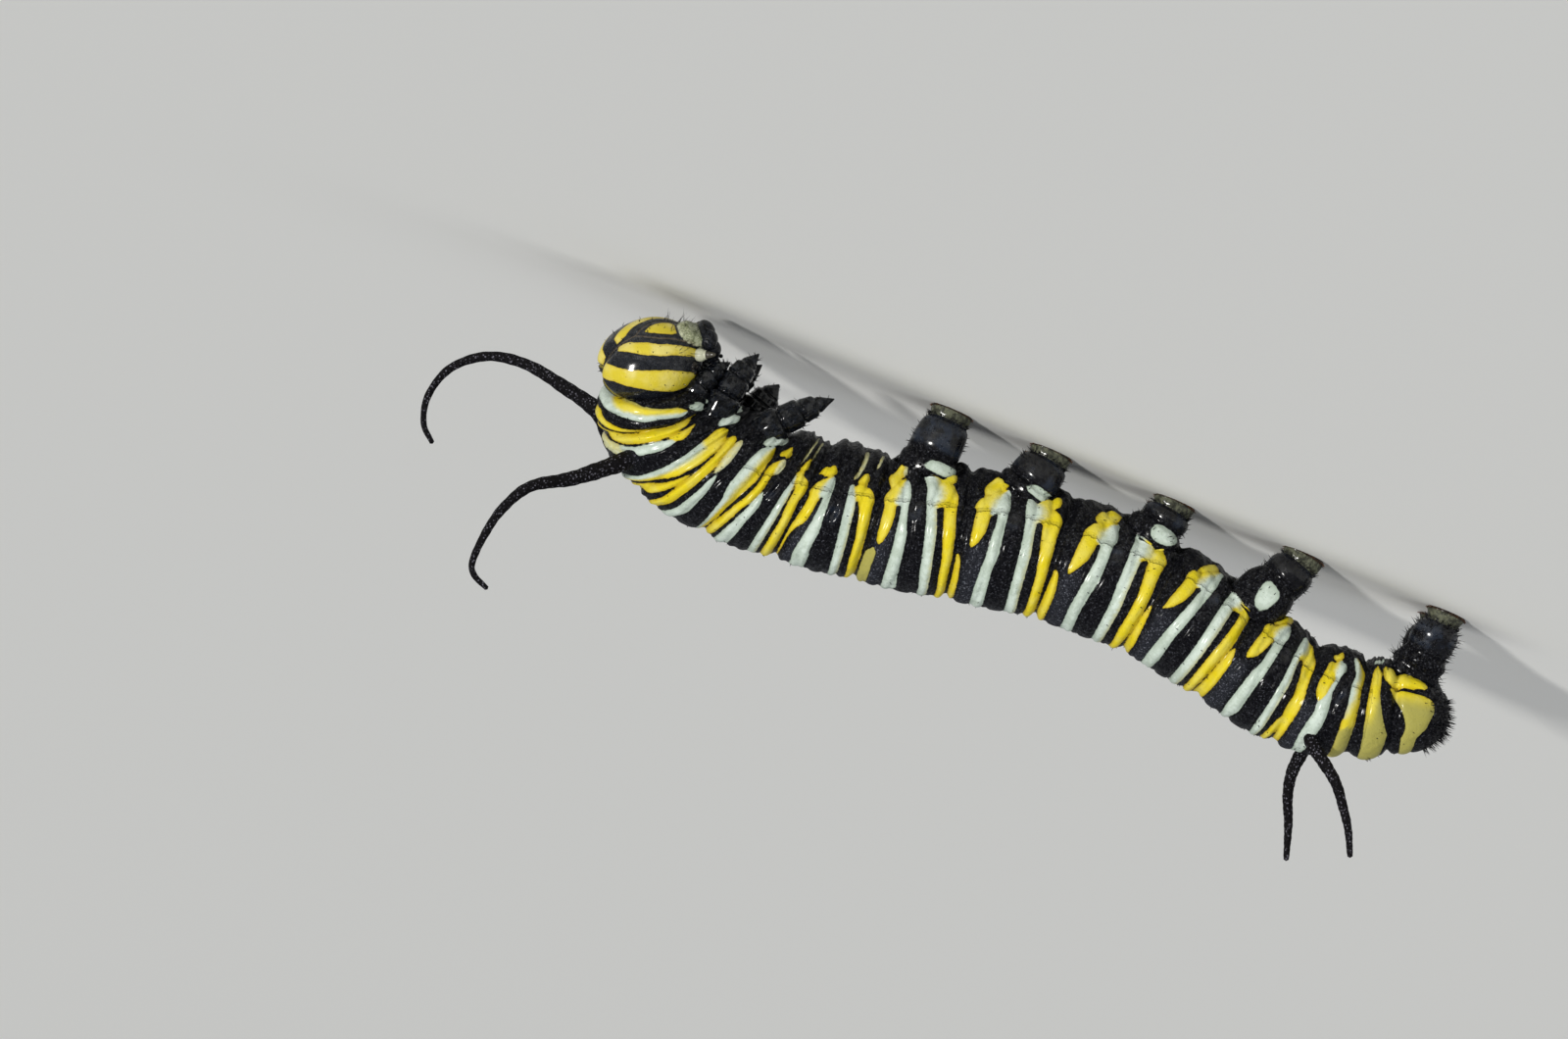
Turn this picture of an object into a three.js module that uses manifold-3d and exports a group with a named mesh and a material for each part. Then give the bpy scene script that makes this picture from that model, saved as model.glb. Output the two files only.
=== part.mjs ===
// A monarch larva of the last instar, life size, standing on its prolegs with its head bowed.
// Millimetres. +X is forwards, +Y is the larva's left, +Z is up, and the floor is z = 0.

import * as THREE from 'three';
import { mergeVertices } from 'three/addons/utils/BufferGeometryUtils.js';
import Module from 'manifold-3d';

const wasm = await Module();
wasm.setup();

const gap = 0.3; // clear space between two pieces that touch
const trunkSides = 22;
const origin = new THREE.Vector3(9.2, 0.93, 0); // carries the middle of the model's box to x = 0, y = 0

// The borders between the trunk's segments, from the neck to the tail. Each one has its middle, the
// half height and half width of the body there, and how far the way forwards bows below the level
// and turns to the larva's right, in degrees.
const borders = [
  { x: 3.3, y: -1.62, z: 3.46, tall: 2.0, wide: 1.85, bow: 60, turn: 28 },
  { x: 2.65, y: -1.0, z: 4.4, tall: 2.3, wide: 2.15, bow: 52, turn: 21 },
  { x: 0.9, y: -0.46, z: 5.08, tall: 2.66, wide: 2.4, bow: 33, turn: 11 },
  { x: -1.5, y: -0.12, z: 5.4, tall: 2.62, wide: 2.5, bow: 20, turn: 5 },
  { x: -3.75, y: 0, z: 5.27, tall: 2.45, wide: 2.45, bow: 5, turn: 1 },
  { x: -6.5, y: 0, z: 4.85, tall: 2.48, wide: 2.5, bow: -4, turn: 0 },
  { x: -9.85, y: 0, z: 4.15, tall: 2.55, wide: 2.55, bow: -10, turn: 0 },
  { x: -13.6, y: 0, z: 3.6, tall: 2.45, wide: 2.5, bow: -4, turn: 0 },
  { x: -17.75, y: 0, z: 3.62, tall: 2.35, wide: 2.4, bow: 8, turn: 0 },
  { x: -21.25, y: 0, z: 4.38, tall: 2.15, wide: 2.25, bow: 14, turn: 0 },
  { x: -24.3, y: 0, z: 4.95, tall: 2.1, wide: 2.1, bow: 4, turn: 0 },
  { x: -26.7, y: 0, z: 4.55, tall: 1.93, wide: 1.95, bow: -10, turn: 0 },
  { x: -27.95, y: 0, z: 4.15, tall: 1.7, wide: 1.72, bow: -16, turn: 0 },
  { x: -29.85, y: 0, z: 3.66, tall: 1.12, wide: 1.2, bow: -17, turn: 0 },
];

// Each segment with the shares of its length where a crease runs round it.
const foldedSegment = [0, 0.12, 0.31, 0.45, 0.66, 0.83, 1];
const segments = [
  { name: 'prothorax', creases: [0, 0.5, 1] },
  { name: 'mesothorax', creases: [0, 0.2, 0.36, 0.68, 0.86, 1] },
  { name: 'metathorax', creases: [0, 0.2, 0.36, 0.62, 1] },
  ...[1, 2, 3, 4, 5, 6, 7].map((n) => ({ name: `abdomen_${n}`, creases: foldedSegment })),
  { name: 'abdomen_8', creases: [0, 0.3, 0.55, 1] },
  { name: 'abdomen_9', creases: [0, 0.5, 1] },
  { name: 'anal_segment', creases: [0, 0.35, 0.7, 1] },
];
const crease = { border: 0.22, inside: 0.09, ridge: 0.05 };
const segmentSwell = 0.08; // how far the middle of a segment stands out past its borders

const head = {
  middle: new THREE.Vector3(3.68, -2.1, 2.7),
  front: new THREE.Vector3(0.432, -0.682, -0.59),
  crown: new THREE.Vector3(0.807, 0, 0.591),
  deep: 1.6,
  wide: 1.75,
  above: 2.15,
  below: 2.02,
  chinNarrowing: 0.24,
  crownNotch: 0.12,
};
const eyes = { radius: 0.15, ring: 0.42, sideways: 0.82, down: -0.5, forwards: 0.32 };

// Claw places on the floor or in the air, and root angles from the middle of the back.
const legRoot = { angle: 143, sunk: 0.6 };
const legs = [
  { name: 'leg_1_right', at: 0.62, claw: [0.85, -2.0, 1.6], size: 0.82 },
  { name: 'leg_1_left', at: 0.55, claw: [1.45, -0.7, 1.4], size: 0.82 },
  { name: 'leg_2_right', at: 1.5, claw: [-0.05, -1.75, 0.85], size: 1.16 },
  { name: 'leg_2_left', at: 1.55, claw: [-0.3, 0.35, 0.95], size: 1.16 },
  { name: 'leg_3_right', at: 2.5, claw: [-3.4, -1.6, 1.35], size: 1.16 },
  { name: 'leg_3_left', at: 2.4, claw: [-1.2, 0.85, 1.35], size: 1.16 },
];

// Prolegs stand on the third to sixth abdominal segments and on the last one.
const proleg = { rootAngle: 143, sunk: 0.9, long: 1.12, thick: 0.86, soleLong: 0.78, soleThick: 0.56 };
const footSpread = 1.3;
const prolegs = [
  { name: 'proleg_3', at: 5.45, foot: -7.8, size: 1 },
  { name: 'proleg_4', at: 6.52, foot: -11.95, size: 1 },
  { name: 'proleg_5', at: 7.7, foot: -17.1, size: 1 },
  { name: 'proleg_6', at: 8.88, foot: -22.5, size: 1 },
  { name: 'anal_proleg', at: 12.25, foot: -28.45, size: 0.98 },
];

// The soft black filaments, as the points that each one follows from its root to its tip.
const frontFilament = { at: 1.48, angle: 38, thick: [0.62, 0.5, 0.26], lengths: 3 };
const rearFilament = { at: 10.42, angle: 38, thick: [0.54, 0.5, 0.24], lengths: 1 };
const filaments = [
  {
    name: 'front_filament_right', kind: frontFilament, side: 1,
    path: [[4.7, -3.1, 8.15], [6.1, -3.8, 9.15], [6.75, -4.2, 10.35], [7.0, -4.45, 11.5],
      [7.05, -4.65, 12.7], [6.85, -4.75, 13.25], [6.3, -4.75, 13.3]],
  },
  {
    name: 'front_filament_left', kind: frontFilament, side: -1,
    path: [[4.9, 1.15, 5.0], [6.6, 1.75, 4.5], [8.3, 2.25, 4.2], [9.8, 2.6, 4.45],
      [10.95, 2.8, 5.4], [11.35, 2.85, 6.7], [11.1, 2.75, 7.8], [10.5, 2.6, 8.4]],
  },
  {
    name: 'rear_filament_right', kind: rearFilament, side: 1,
    path: [[-26.8, -1.95, 7.75], [-27.45, -2.25, 8.6], [-27.95, -2.4, 9.35], [-28.4, -2.5, 10.3]],
  },
  {
    name: 'rear_filament_left', kind: rearFilament, side: -1,
    path: [[-25.4, 1.65, 7.7], [-25.6, 1.95, 8.6], [-26.05, 2.2, 9.6], [-26.5, 2.4, 10.9]],
  },
];

const colour = {
  banded: { color: 0x8c8436, roughness: 0.55, metalness: 0 },
  headShell: { color: 0xa08a2a, roughness: 0.25, metalness: 0 },
  jaws: { color: 0x0b0c10, roughness: 0.2, metalness: 0 },
  legShell: { color: 0x0d0e12, roughness: 0.25, metalness: 0 },
  proleg: { color: 0x14151a, roughness: 0.4, metalness: 0 },
  filament: { color: 0x1a171b, roughness: 0.6, metalness: 0 },
};

const radians = THREE.MathUtils.degToRad;
const vector = (a) => new THREE.Vector3(...a);

// A closed three.js geometry as a solid, and a solid as a named mesh.
function solidOf(geometry) {
  const plain = geometry.clone();
  plain.deleteAttribute('normal');
  plain.deleteAttribute('uv');
  const merged = mergeVertices(plain);
  return new wasm.Manifold(new wasm.Mesh({
    numProp: 3,
    vertProperties: merged.attributes.position.array,
    triVerts: new Uint32Array(merged.index.array),
  }));
}

function largest(solid) {
  return solid.decompose().sort((a, b) => b.volume() - a.volume())[0];
}

function meshOf(solid, name, look) {
  const data = largest(solid).getMesh();
  const geometry = new THREE.BufferGeometry();
  geometry.setAttribute('position', new THREE.BufferAttribute(data.vertProperties, 3));
  geometry.setIndex(new THREE.BufferAttribute(data.triVerts, 1));
  geometry.computeVertexNormals();
  const mesh = new THREE.Mesh(geometry, new THREE.MeshStandardMaterial(look));
  mesh.name = name;
  return mesh;
}

// One size of the trunk on a smooth curve through the borders, s segments behind the neck.
function along(key, s) {
  const line = new THREE.SplineCurve(borders.map((b, i) => new THREE.Vector2(i, b[key])));
  return line.getPoint(Math.min(s / (borders.length - 1), 1)).y;
}

function trunkFrame(s) {
  const middle = new THREE.Vector3(along('x', s), along('y', s), along('z', s));
  const bow = radians(along('bow', s));
  const turn = radians(along('turn', s));
  const forwards = new THREE.Vector3(
    Math.cos(turn) * Math.cos(bow), -Math.sin(turn), -Math.cos(turn) * Math.sin(bow));
  const right = new THREE.Vector3(0, -1, 0).addScaledVector(forwards, forwards.y).normalize();
  const up = new THREE.Vector3().crossVectors(right, forwards);
  return { middle, forwards, right, up, tall: along('tall', s), wide: along('wide', s) };
}

// A point on the body, or raised above it, at an angle from the middle of the back to the right.
function trunkPoint(s, angle, raised = 0) {
  const f = trunkFrame(s);
  return f.middle.clone()
    .addScaledVector(f.up, Math.cos(angle) * (f.tall + raised))
    .addScaledVector(f.right, Math.sin(angle) * (f.wide + raised));
}

// A cylinder whose rings and angles are placed one by one: rim is 0 at an end's middle and 1 at the wall.
function loft(sides, rings, place) {
  const geometry = new THREE.CylinderGeometry(1, 1, 1, sides, rings);
  const position = geometry.getAttribute('position');
  const v = new THREE.Vector3();
  for (let i = 0; i < position.count; i += 1) {
    v.fromBufferAttribute(position, i);
    const ring = Math.round((0.5 - v.y) * rings);
    const placed = place(ring, Math.atan2(v.x, v.z), Math.hypot(v.x, v.z));
    position.setXYZ(i, placed.x, placed.y, placed.z);
  }
  return geometry;
}

// Rings of one segment: its share of the length, and how far the body is raised or creased there.
function segmentRings(creases) {
  const rings = [];
  creases.forEach((share, i) => {
    const atBorder = i === 0 || i === creases.length - 1;
    if (i > 0) {
      rings.push({ share: (share + creases[i - 1]) / 2, raised: crease.ridge });
    }
    rings.push({ share, raised: atBorder ? -crease.border : -crease.inside });
  });
  return rings.map((r) => ({ ...r, raised: r.raised + segmentSwell * Math.sin(Math.PI * r.share) }));
}

// One segment between its two borders, or a grown copy that clears what stands on it by the gap.
function segmentGeometry(index, { name, creases }, grown = 0) {
  const rings = segmentRings(creases);
  const last = rings.length - 1;
  const length = trunkFrame(index).middle.distanceTo(trunkFrame(index + 1).middle);
  const endShare = gap / 2 / length;
  const isTail = name === 'anal_segment';
  return loft(trunkSides, last, (ring, angle, rim) => {
    const isEnd = ring === 0 || (ring === last && !isTail);
    const share = isEnd ? rings[ring].share : endShare + (1 - 2 * endShare) * rings[ring].share;
    const f = trunkFrame(index + share);
    const reach = rim * (ring === last && isTail ? 0.72 : 1);
    const raised = rings[ring].raised + grown;
    if (isEnd || (isTail && ring === last)) {
      f.middle.addScaledVector(f.forwards, (grown - gap / 2) * (ring === 0 ? 1 : -1));
    }
    return f.middle
      .addScaledVector(f.up, Math.cos(angle) * (f.tall + raised) * reach)
      .addScaledVector(f.right, Math.sin(angle) * (f.wide + raised) * reach);
  });
}

// A tapering tube along a curve. The two half thicknesses of each ring come from the function.
function tube(curve, sides, rings, halfThickness, sideways = new THREE.Vector3(0, 1, 0)) {
  return loft(sides, rings, (ring, angle, rim) => {
    const t = ring / rings;
    const ahead = curve.getTangent(t);
    const side = sideways.clone().addScaledVector(ahead, -sideways.dot(ahead)).normalize();
    const other = new THREE.Vector3().crossVectors(ahead, side);
    const { a, b } = halfThickness(t);
    return curve.getPoint(t)
      .addScaledVector(side, Math.sin(angle) * a * rim)
      .addScaledVector(other, Math.cos(angle) * b * rim);
  });
}

function ball(middle, x, y, z, turn = new THREE.Matrix4(), around = 12, down = 8) {
  return new THREE.SphereGeometry(1, around, down).scale(x, y, z).applyMatrix4(turn)
    .translate(middle.x, middle.y, middle.z);
}

// Head: axes are left, crown and front, and a point is given as shares of the head's half sizes.
const headLeft = new THREE.Vector3().crossVectors(head.crown, head.front).normalize();
const headTurn = new THREE.Matrix4().makeBasis(headLeft, head.crown.clone().normalize(),
  head.front.clone().normalize());

function headPoint(left, crown, front, raised = 0) {
  const high = crown > 0 ? head.above : head.below;
  const narrow = 1 - head.chinNarrowing * Math.max(0, -crown) ** 2;
  const notch = head.crownNotch * Math.exp(-((left / 0.18) ** 2)) * Math.max(0, crown + 0.2);
  const size = 1 - notch;
  const local = new THREE.Vector3(left * (head.wide * narrow + raised),
    crown * (high + raised) * size, front * (head.deep + raised) * size);
  return local.applyMatrix4(headTurn).add(head.middle);
}

function headShell(raised, around, down) {
  const geometry = new THREE.SphereGeometry(1, around, down);
  const position = geometry.getAttribute('position');
  for (let i = 0; i < position.count; i += 1) {
    const p = headPoint(position.getX(i), position.getY(i), position.getZ(i), raised);
    position.setXYZ(i, p.x, p.y, p.z);
  }
  return solidOf(geometry);
}

// A slab that starts on a border of the trunk and fills what lies in front of it or behind it.
function slabAt(s, ahead, clear) {
  const f = trunkFrame(s);
  const size = 12;
  const turn = new THREE.Matrix4().makeBasis(f.right, f.up, f.right.clone().cross(f.up));
  const middle = f.middle.clone().addScaledVector(f.forwards, ahead * (size / 2 + clear));
  const box = new THREE.BoxGeometry(size, size, size).applyMatrix4(turn);
  return solidOf(box.translate(middle.x, middle.y, middle.z));
}

function headSolid() {
  let solid = headShell(0, 26, 18);
  for (const side of [-1, 1]) {
    for (let i = 0; i < 6; i += 1) {
      // Five small eyes stand in an arc and the sixth a little behind it.
      const turn = radians(i < 5 ? -100 + 48 * i : 165);
      const spot = new THREE.Vector3(side * eyes.sideways, eyes.down + 0.14 * Math.sin(turn),
        eyes.forwards + 0.15 * Math.cos(turn)).normalize();
      const middle = headPoint(spot.x, spot.y, spot.z, -0.03);
      solid = solid.add(solidOf(ball(middle, eyes.radius, eyes.radius, eyes.radius, headTurn, 8, 6)));
    }
  }
  return solid.subtract(slabAt(0, -1, -gap / 2));
}

// Upper lip, the two jaws, the palps beside them and the silk tube, fused as one piece.
function mouthSolid() {
  const pieces = [
    ball(headPoint(0, -0.88, 0.44, 0.26), 0.52, 0.3, 0.3, headTurn),
    ball(headPoint(0, -0.99, -0.12, 0.26), 0.42, 0.3, 0.4, headTurn),
  ];
  for (const side of [-1, 1]) {
    pieces.push(ball(headPoint(side * 0.2, -0.96, 0.2, 0.24), 0.34, 0.42, 0.36, headTurn));
    const palp = new THREE.LineCurve3(
      headPoint(side * 0.22, -0.97, -0.12, 0.1), headPoint(side * 0.26, -0.98, -0.2, 0.72));
    pieces.push(tube(palp, 8, 3, (t) => ({ a: 0.2 - 0.1 * t, b: 0.2 - 0.1 * t })));
  }
  const silkTube = new THREE.LineCurve3(
    headPoint(0, -0.98, -0.2, 0.1), headPoint(0, -0.97, -0.3, 0.74));
  pieces.push(tube(silkTube, 8, 3, (t) => ({ a: 0.22 - 0.14 * t, b: 0.22 - 0.14 * t })));
  return pieces.map(solidOf).reduce((a, b) => a.add(b)).subtract(headShell(gap, 26, 18));
}

function antennaSolid(side) {
  const root = headPoint(side * 0.52, -0.8, 0.28, -0.1);
  const tip = headPoint(side * 0.55, -0.84, 0.26, 0.72);
  const line = new THREE.LineCurve3(root, tip);
  const stub = tube(line, 8, 6, (t) => {
    const thick = t < 0.55 ? 0.27 : 0.27 - 0.4 * (t - 0.55);
    return { a: thick, b: thick };
  });
  return solidOf(stub).subtract(headShell(gap, 26, 18));
}

// What lies under the floor, to give every foot its flat.
const underFloor = solidOf(new THREE.BoxGeometry(80, 40, 6).translate(-9, 0, -3));

function legSolid({ at, claw, size }, side, clearOf) {
  const root = trunkPoint(at, side * radians(legRoot.angle), -legRoot.sunk);
  const tip = vector(claw);
  tip.z -= tip.z === 0 ? 0.08 : 0;
  const knee = root.clone().lerp(tip, 0.5);
  knee.y -= side * 0.45;
  knee.x += 0.28;
  const curve = new THREE.QuadraticBezierCurve3(root, knee, tip);
  // Coxa, femur, tibia and tarsus swell in turn, and the claw ends in a point.
  const joint = [
    [0, 0.5], [0.3, 0.5], [0.4, 0.4], [0.58, 0.42], [0.66, 0.31], [0.8, 0.3], [0.87, 0.17], [1, 0.07],
  ];
  const thick = (t) => {
    const i = Math.max(1, joint.findIndex(([share]) => share >= t - 1e-9));
    const [[t0, r0], [t1, r1]] = [joint[i - 1], joint[i]];
    return size * (r0 + ((r1 - r0) * (t - t0)) / (t1 - t0));
  };
  return solidOf(tube(curve, 9, 14, (t) => ({ a: thick(t), b: thick(t) })))
    .subtract(clearOf).subtract(underFloor);
}

function prolegSolid({ at, foot, size }, side, clearOf) {
  const root = trunkPoint(at, side * radians(proleg.rootAngle), -proleg.sunk);
  const sole = new THREE.Vector3(foot, -side * footSpread, -0.4);
  const ankle = new THREE.Vector3(foot, -side * footSpread * 1.08, 0.55);
  const curve = new THREE.QuadraticBezierCurve3(root, ankle, sole);
  // Broad at the root, drawn in at the ankle, and spread again round the sole.
  const width = (t, wide, narrow) => {
    const ankleIn = 0.12 * Math.exp(-(((t - 0.72) / 0.09) ** 2));
    return size * (wide + (narrow - wide) * Math.min(1, t / 0.75) - ankleIn);
  };
  return solidOf(tube(curve, 14, 12, (t) => ({
    a: width(t, proleg.thick, proleg.soleThick), b: width(t, proleg.long, proleg.soleLong),
  }))).subtract(clearOf).subtract(underFloor);
}

// One filament, parted by planes across it into its lengths.
function filamentMeshes({ name, kind, side, path }, clearOf) {
  const root = trunkPoint(kind.at, side * radians(kind.angle), -0.5);
  const start = trunkPoint(kind.at, side * radians(kind.angle), 0.25);
  const curve = new THREE.CatmullRomCurve3([root, start, ...path.map(vector)]);
  const [thickRoot, thickMiddle, thickTip] = kind.thick;
  const whole = curve.getLength();
  const rings = kind.lengths === 1 ? 14 : 8;
  return Array.from({ length: kind.lengths }, (_, i) => {
    const from = i / kind.lengths + (i > 0 ? gap / 2 / whole : 0);
    const to = (i + 1) / kind.lengths - (i < kind.lengths - 1 ? gap / 2 / whole : 0);
    const geometry = loft(10, rings, (ring, angle, rim) => {
      const u = from + ((to - from) * ring) / rings;
      const ahead = curve.getTangentAt(u);
      const side0 = new THREE.Vector3(0, 1, 0).addScaledVector(ahead, -ahead.y).normalize();
      const other = new THREE.Vector3().crossVectors(ahead, side0);
      const thick = u < 0.6
        ? thickRoot + (thickMiddle - thickRoot) * (u / 0.6)
        : thickMiddle + (thickTip - thickMiddle) * ((u - 0.6) / 0.4);
      return curve.getPointAt(u)
        .addScaledVector(side0, (Math.sin(angle) * thick * rim) / 2)
        .addScaledVector(other, (Math.cos(angle) * thick * rim) / 2);
    });
    const part = kind.lengths === 1 ? name : `${name}_${['root', 'middle', 'tip'][i]}`;
    return meshOf(solidOf(geometry).subtract(clearOf), part, colour.filament);
  });
}

const larva = new THREE.Group();
larva.name = 'monarch_larva';
larva.position.copy(origin);

segments.forEach((segment, index) => {
  larva.add(meshOf(solidOf(segmentGeometry(index, segment)), segment.name, colour.banded));
});

// The whole trunk, grown by the gap, which clears the roots of all that stands on it.
const swollen = segments.map((segment, index) => solidOf(segmentGeometry(index, segment, gap)))
  .reduce((a, b) => a.add(b));
const swollenHead = headShell(gap, 26, 18);
const headPiece = headSolid();
const mouthPiece = mouthSolid().subtract(swollen);
larva.add(meshOf(headPiece, 'head', colour.headShell));
larva.add(meshOf(mouthPiece, 'mouthparts', colour.jaws));
larva.add(meshOf(antennaSolid(1), 'antenna_left', colour.jaws));
larva.add(meshOf(antennaSolid(-1), 'antenna_right', colour.jaws));

const rootsClearOf = swollen.add(swollenHead);
for (const leg of legs) {
  const side = leg.name.endsWith('right') ? 1 : -1;
  larva.add(meshOf(legSolid(leg, side, rootsClearOf), leg.name, colour.legShell));
}
for (const pair of prolegs) {
  for (const [word, side] of [['right', 1], ['left', -1]]) {
    larva.add(meshOf(prolegSolid(pair, side, swollen), `${pair.name}_${word}`, colour.proleg));
  }
}
for (const filament of filaments) {
  larva.add(...filamentMeshes(filament, rootsClearOf));
}

export default larva;
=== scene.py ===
import math
import random

import bmesh
import bpy
import numpy as np
from mathutils import Matrix, Vector


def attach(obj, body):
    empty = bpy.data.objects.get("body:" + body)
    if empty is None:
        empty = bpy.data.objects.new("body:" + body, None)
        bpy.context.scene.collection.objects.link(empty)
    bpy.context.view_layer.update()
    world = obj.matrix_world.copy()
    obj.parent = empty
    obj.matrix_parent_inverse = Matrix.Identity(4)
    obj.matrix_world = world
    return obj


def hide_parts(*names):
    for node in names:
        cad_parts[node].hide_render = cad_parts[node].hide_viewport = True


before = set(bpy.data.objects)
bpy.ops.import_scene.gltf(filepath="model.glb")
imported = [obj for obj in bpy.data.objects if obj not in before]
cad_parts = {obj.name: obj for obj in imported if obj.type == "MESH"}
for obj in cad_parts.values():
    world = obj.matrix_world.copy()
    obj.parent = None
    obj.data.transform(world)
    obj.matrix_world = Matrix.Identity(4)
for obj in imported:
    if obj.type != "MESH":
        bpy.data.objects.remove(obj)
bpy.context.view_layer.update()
random.seed(7)
print("frame loaded")

# Shapes are worked out in millimetres, and shift carries the middle of the model to the origin
shift = np.array([9.2, 0.93, 0.0])
metre = 0.001

# Camera: close to level, and turned over so that the back is down in the picture
view = {"target": (5.84, 0.93, 6.25), "down": 6, "roll": 202.2, "distance": 337.8, "lens": 200,
        "sensor": 36, "near": 0.01, "far": 10}


def addCamera():
    camera = bpy.data.cameras.new("camera")
    camera.lens = view["lens"]
    camera.sensor_width = view["sensor"]
    camera.clip_start = view["near"]
    camera.clip_end = view["far"]
    down, roll = math.radians(view["down"]), math.radians(view["roll"])
    level = Vector((1, 0, 0))
    upright = Vector((0, math.sin(down), math.cos(down)))
    back = Vector((0, -math.cos(down), math.sin(down)))
    right = level * math.cos(roll) + upright * math.sin(roll)
    up = upright * math.cos(roll) - level * math.sin(roll)
    turn = Matrix((right, up, back)).transposed().to_4x4()
    place = (Vector(view["target"]) + back * view["distance"]) * metre
    holder = bpy.data.objects.new("camera", camera)
    holder.matrix_world = Matrix.Translation(place) @ turn
    bpy.context.scene.collection.objects.link(holder)
    bpy.context.scene.camera = holder


addCamera()
print("camera set")

# Trunk: borders between the segments from the neck to the tail, as in the solids
borderKeys = ("x", "y", "z", "tall", "wide", "bow", "turn")
trunk = {
    "borders": [
        (3.3, -1.62, 3.46, 2.0, 1.85, 60, 28), (2.65, -1.0, 4.4, 2.3, 2.15, 52, 21),
        (0.9, -0.46, 5.08, 2.66, 2.4, 33, 11), (-1.5, -0.12, 5.4, 2.62, 2.5, 20, 5),
        (-3.75, 0, 5.27, 2.45, 2.45, 5, 1), (-6.5, 0, 4.85, 2.48, 2.5, -4, 0),
        (-9.85, 0, 4.15, 2.55, 2.55, -10, 0), (-13.6, 0, 3.6, 2.45, 2.5, -4, 0),
        (-17.75, 0, 3.62, 2.35, 2.4, 8, 0), (-21.25, 0, 4.38, 2.15, 2.25, 14, 0),
        (-24.3, 0, 4.95, 2.1, 2.1, 4, 0), (-26.7, 0, 4.55, 1.93, 1.95, -10, 0),
        (-27.95, 0, 4.15, 1.7, 1.72, -16, 0), (-29.85, 0, 3.66, 1.12, 1.2, -17, 0),
    ],
    "swell": 0.08, "ridge": 0.05, "borderCrease": 0.2, "insideCrease": 0.085,
    "rows": 560, "sides": 108,
}
# Where the creases inside each segment lie, as shares of it
foldedSegment = (0.12, 0.31, 0.45, 0.66, 0.83)
creases = [(0.5,), (0.2, 0.36, 0.68, 0.86), (0.2, 0.36, 0.62)] + [foldedSegment] * 7
creases += [(0.3, 0.55), (), ()]
trunkNodes = ["prothorax", "mesothorax", "metathorax"]
trunkNodes += [f"abdomen_{n}" for n in range(1, 10)] + ["anal_segment"]


def along(key, s):
    values = np.array([b[borderKeys.index(key)] for b in trunk["borders"]], float)
    last = len(values) - 1
    s = np.clip(np.asarray(s, float), 0, last)
    i = np.minimum(s.astype(int), last - 1)
    t = s - i
    p0, p1, p2 = values[np.maximum(i - 1, 0)], values[i], values[i + 1]
    p3 = values[np.minimum(i + 2, last)]
    v0, v1 = (p2 - p0) / 2, (p3 - p1) / 2
    return (2 * p1 - 2 * p2 + v0 + v1) * t**3 + (3 * p2 - 3 * p1 - 2 * v0 - v1) * t**2 + v0 * t + p1


def softStep(x, low, high):
    t = np.clip((x - low) / (high - low), 0, 1)
    return t * t * (3 - 2 * t)


def bell(x, wide, power=2):
    return np.exp(-((x / wide) ** power))


def rounded(share):
    share = np.clip(share, 0, 1)
    return np.sqrt(share * (2 - share))


def unitOf(vectors):
    return vectors / np.linalg.norm(vectors, axis=-1, keepdims=True)


def lengthAlong(path):
    return np.concatenate([[0], np.cumsum(np.linalg.norm(np.diff(path, axis=0), axis=1))])


def trunkFrame(s):
    bow, turn = np.radians(along("bow", s)), np.radians(along("turn", s))
    middle = np.stack([along("x", s), along("y", s), along("z", s)], -1)
    forwards = np.stack(
        [np.cos(turn) * np.cos(bow), -np.sin(turn), -np.cos(turn) * np.sin(bow)], -1)
    right = unitOf(np.array([0.0, -1.0, 0.0]) + forwards * forwards[..., 1:2])
    return middle, forwards, right, np.cross(right, forwards)


# Points of the body at angles in degrees from the middle of the back to the right
def trunkPoints(s, angle, raised=0.0, reach=1.0, ahead=0.0):
    middle, forwards, right, up = trunkFrame(s)
    turn = np.radians(angle)
    high = (np.cos(turn) * (along("tall", s) + raised) * reach)[..., None]
    out = (np.sin(turn) * (along("wide", s) + raised) * reach)[..., None]
    return middle + forwards * np.asarray(ahead)[..., None] + up * high + right * out


def trunkPoint(s, angle, raised):
    return trunkPoints(np.array([s]), np.array([angle]), raised)[0]


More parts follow.
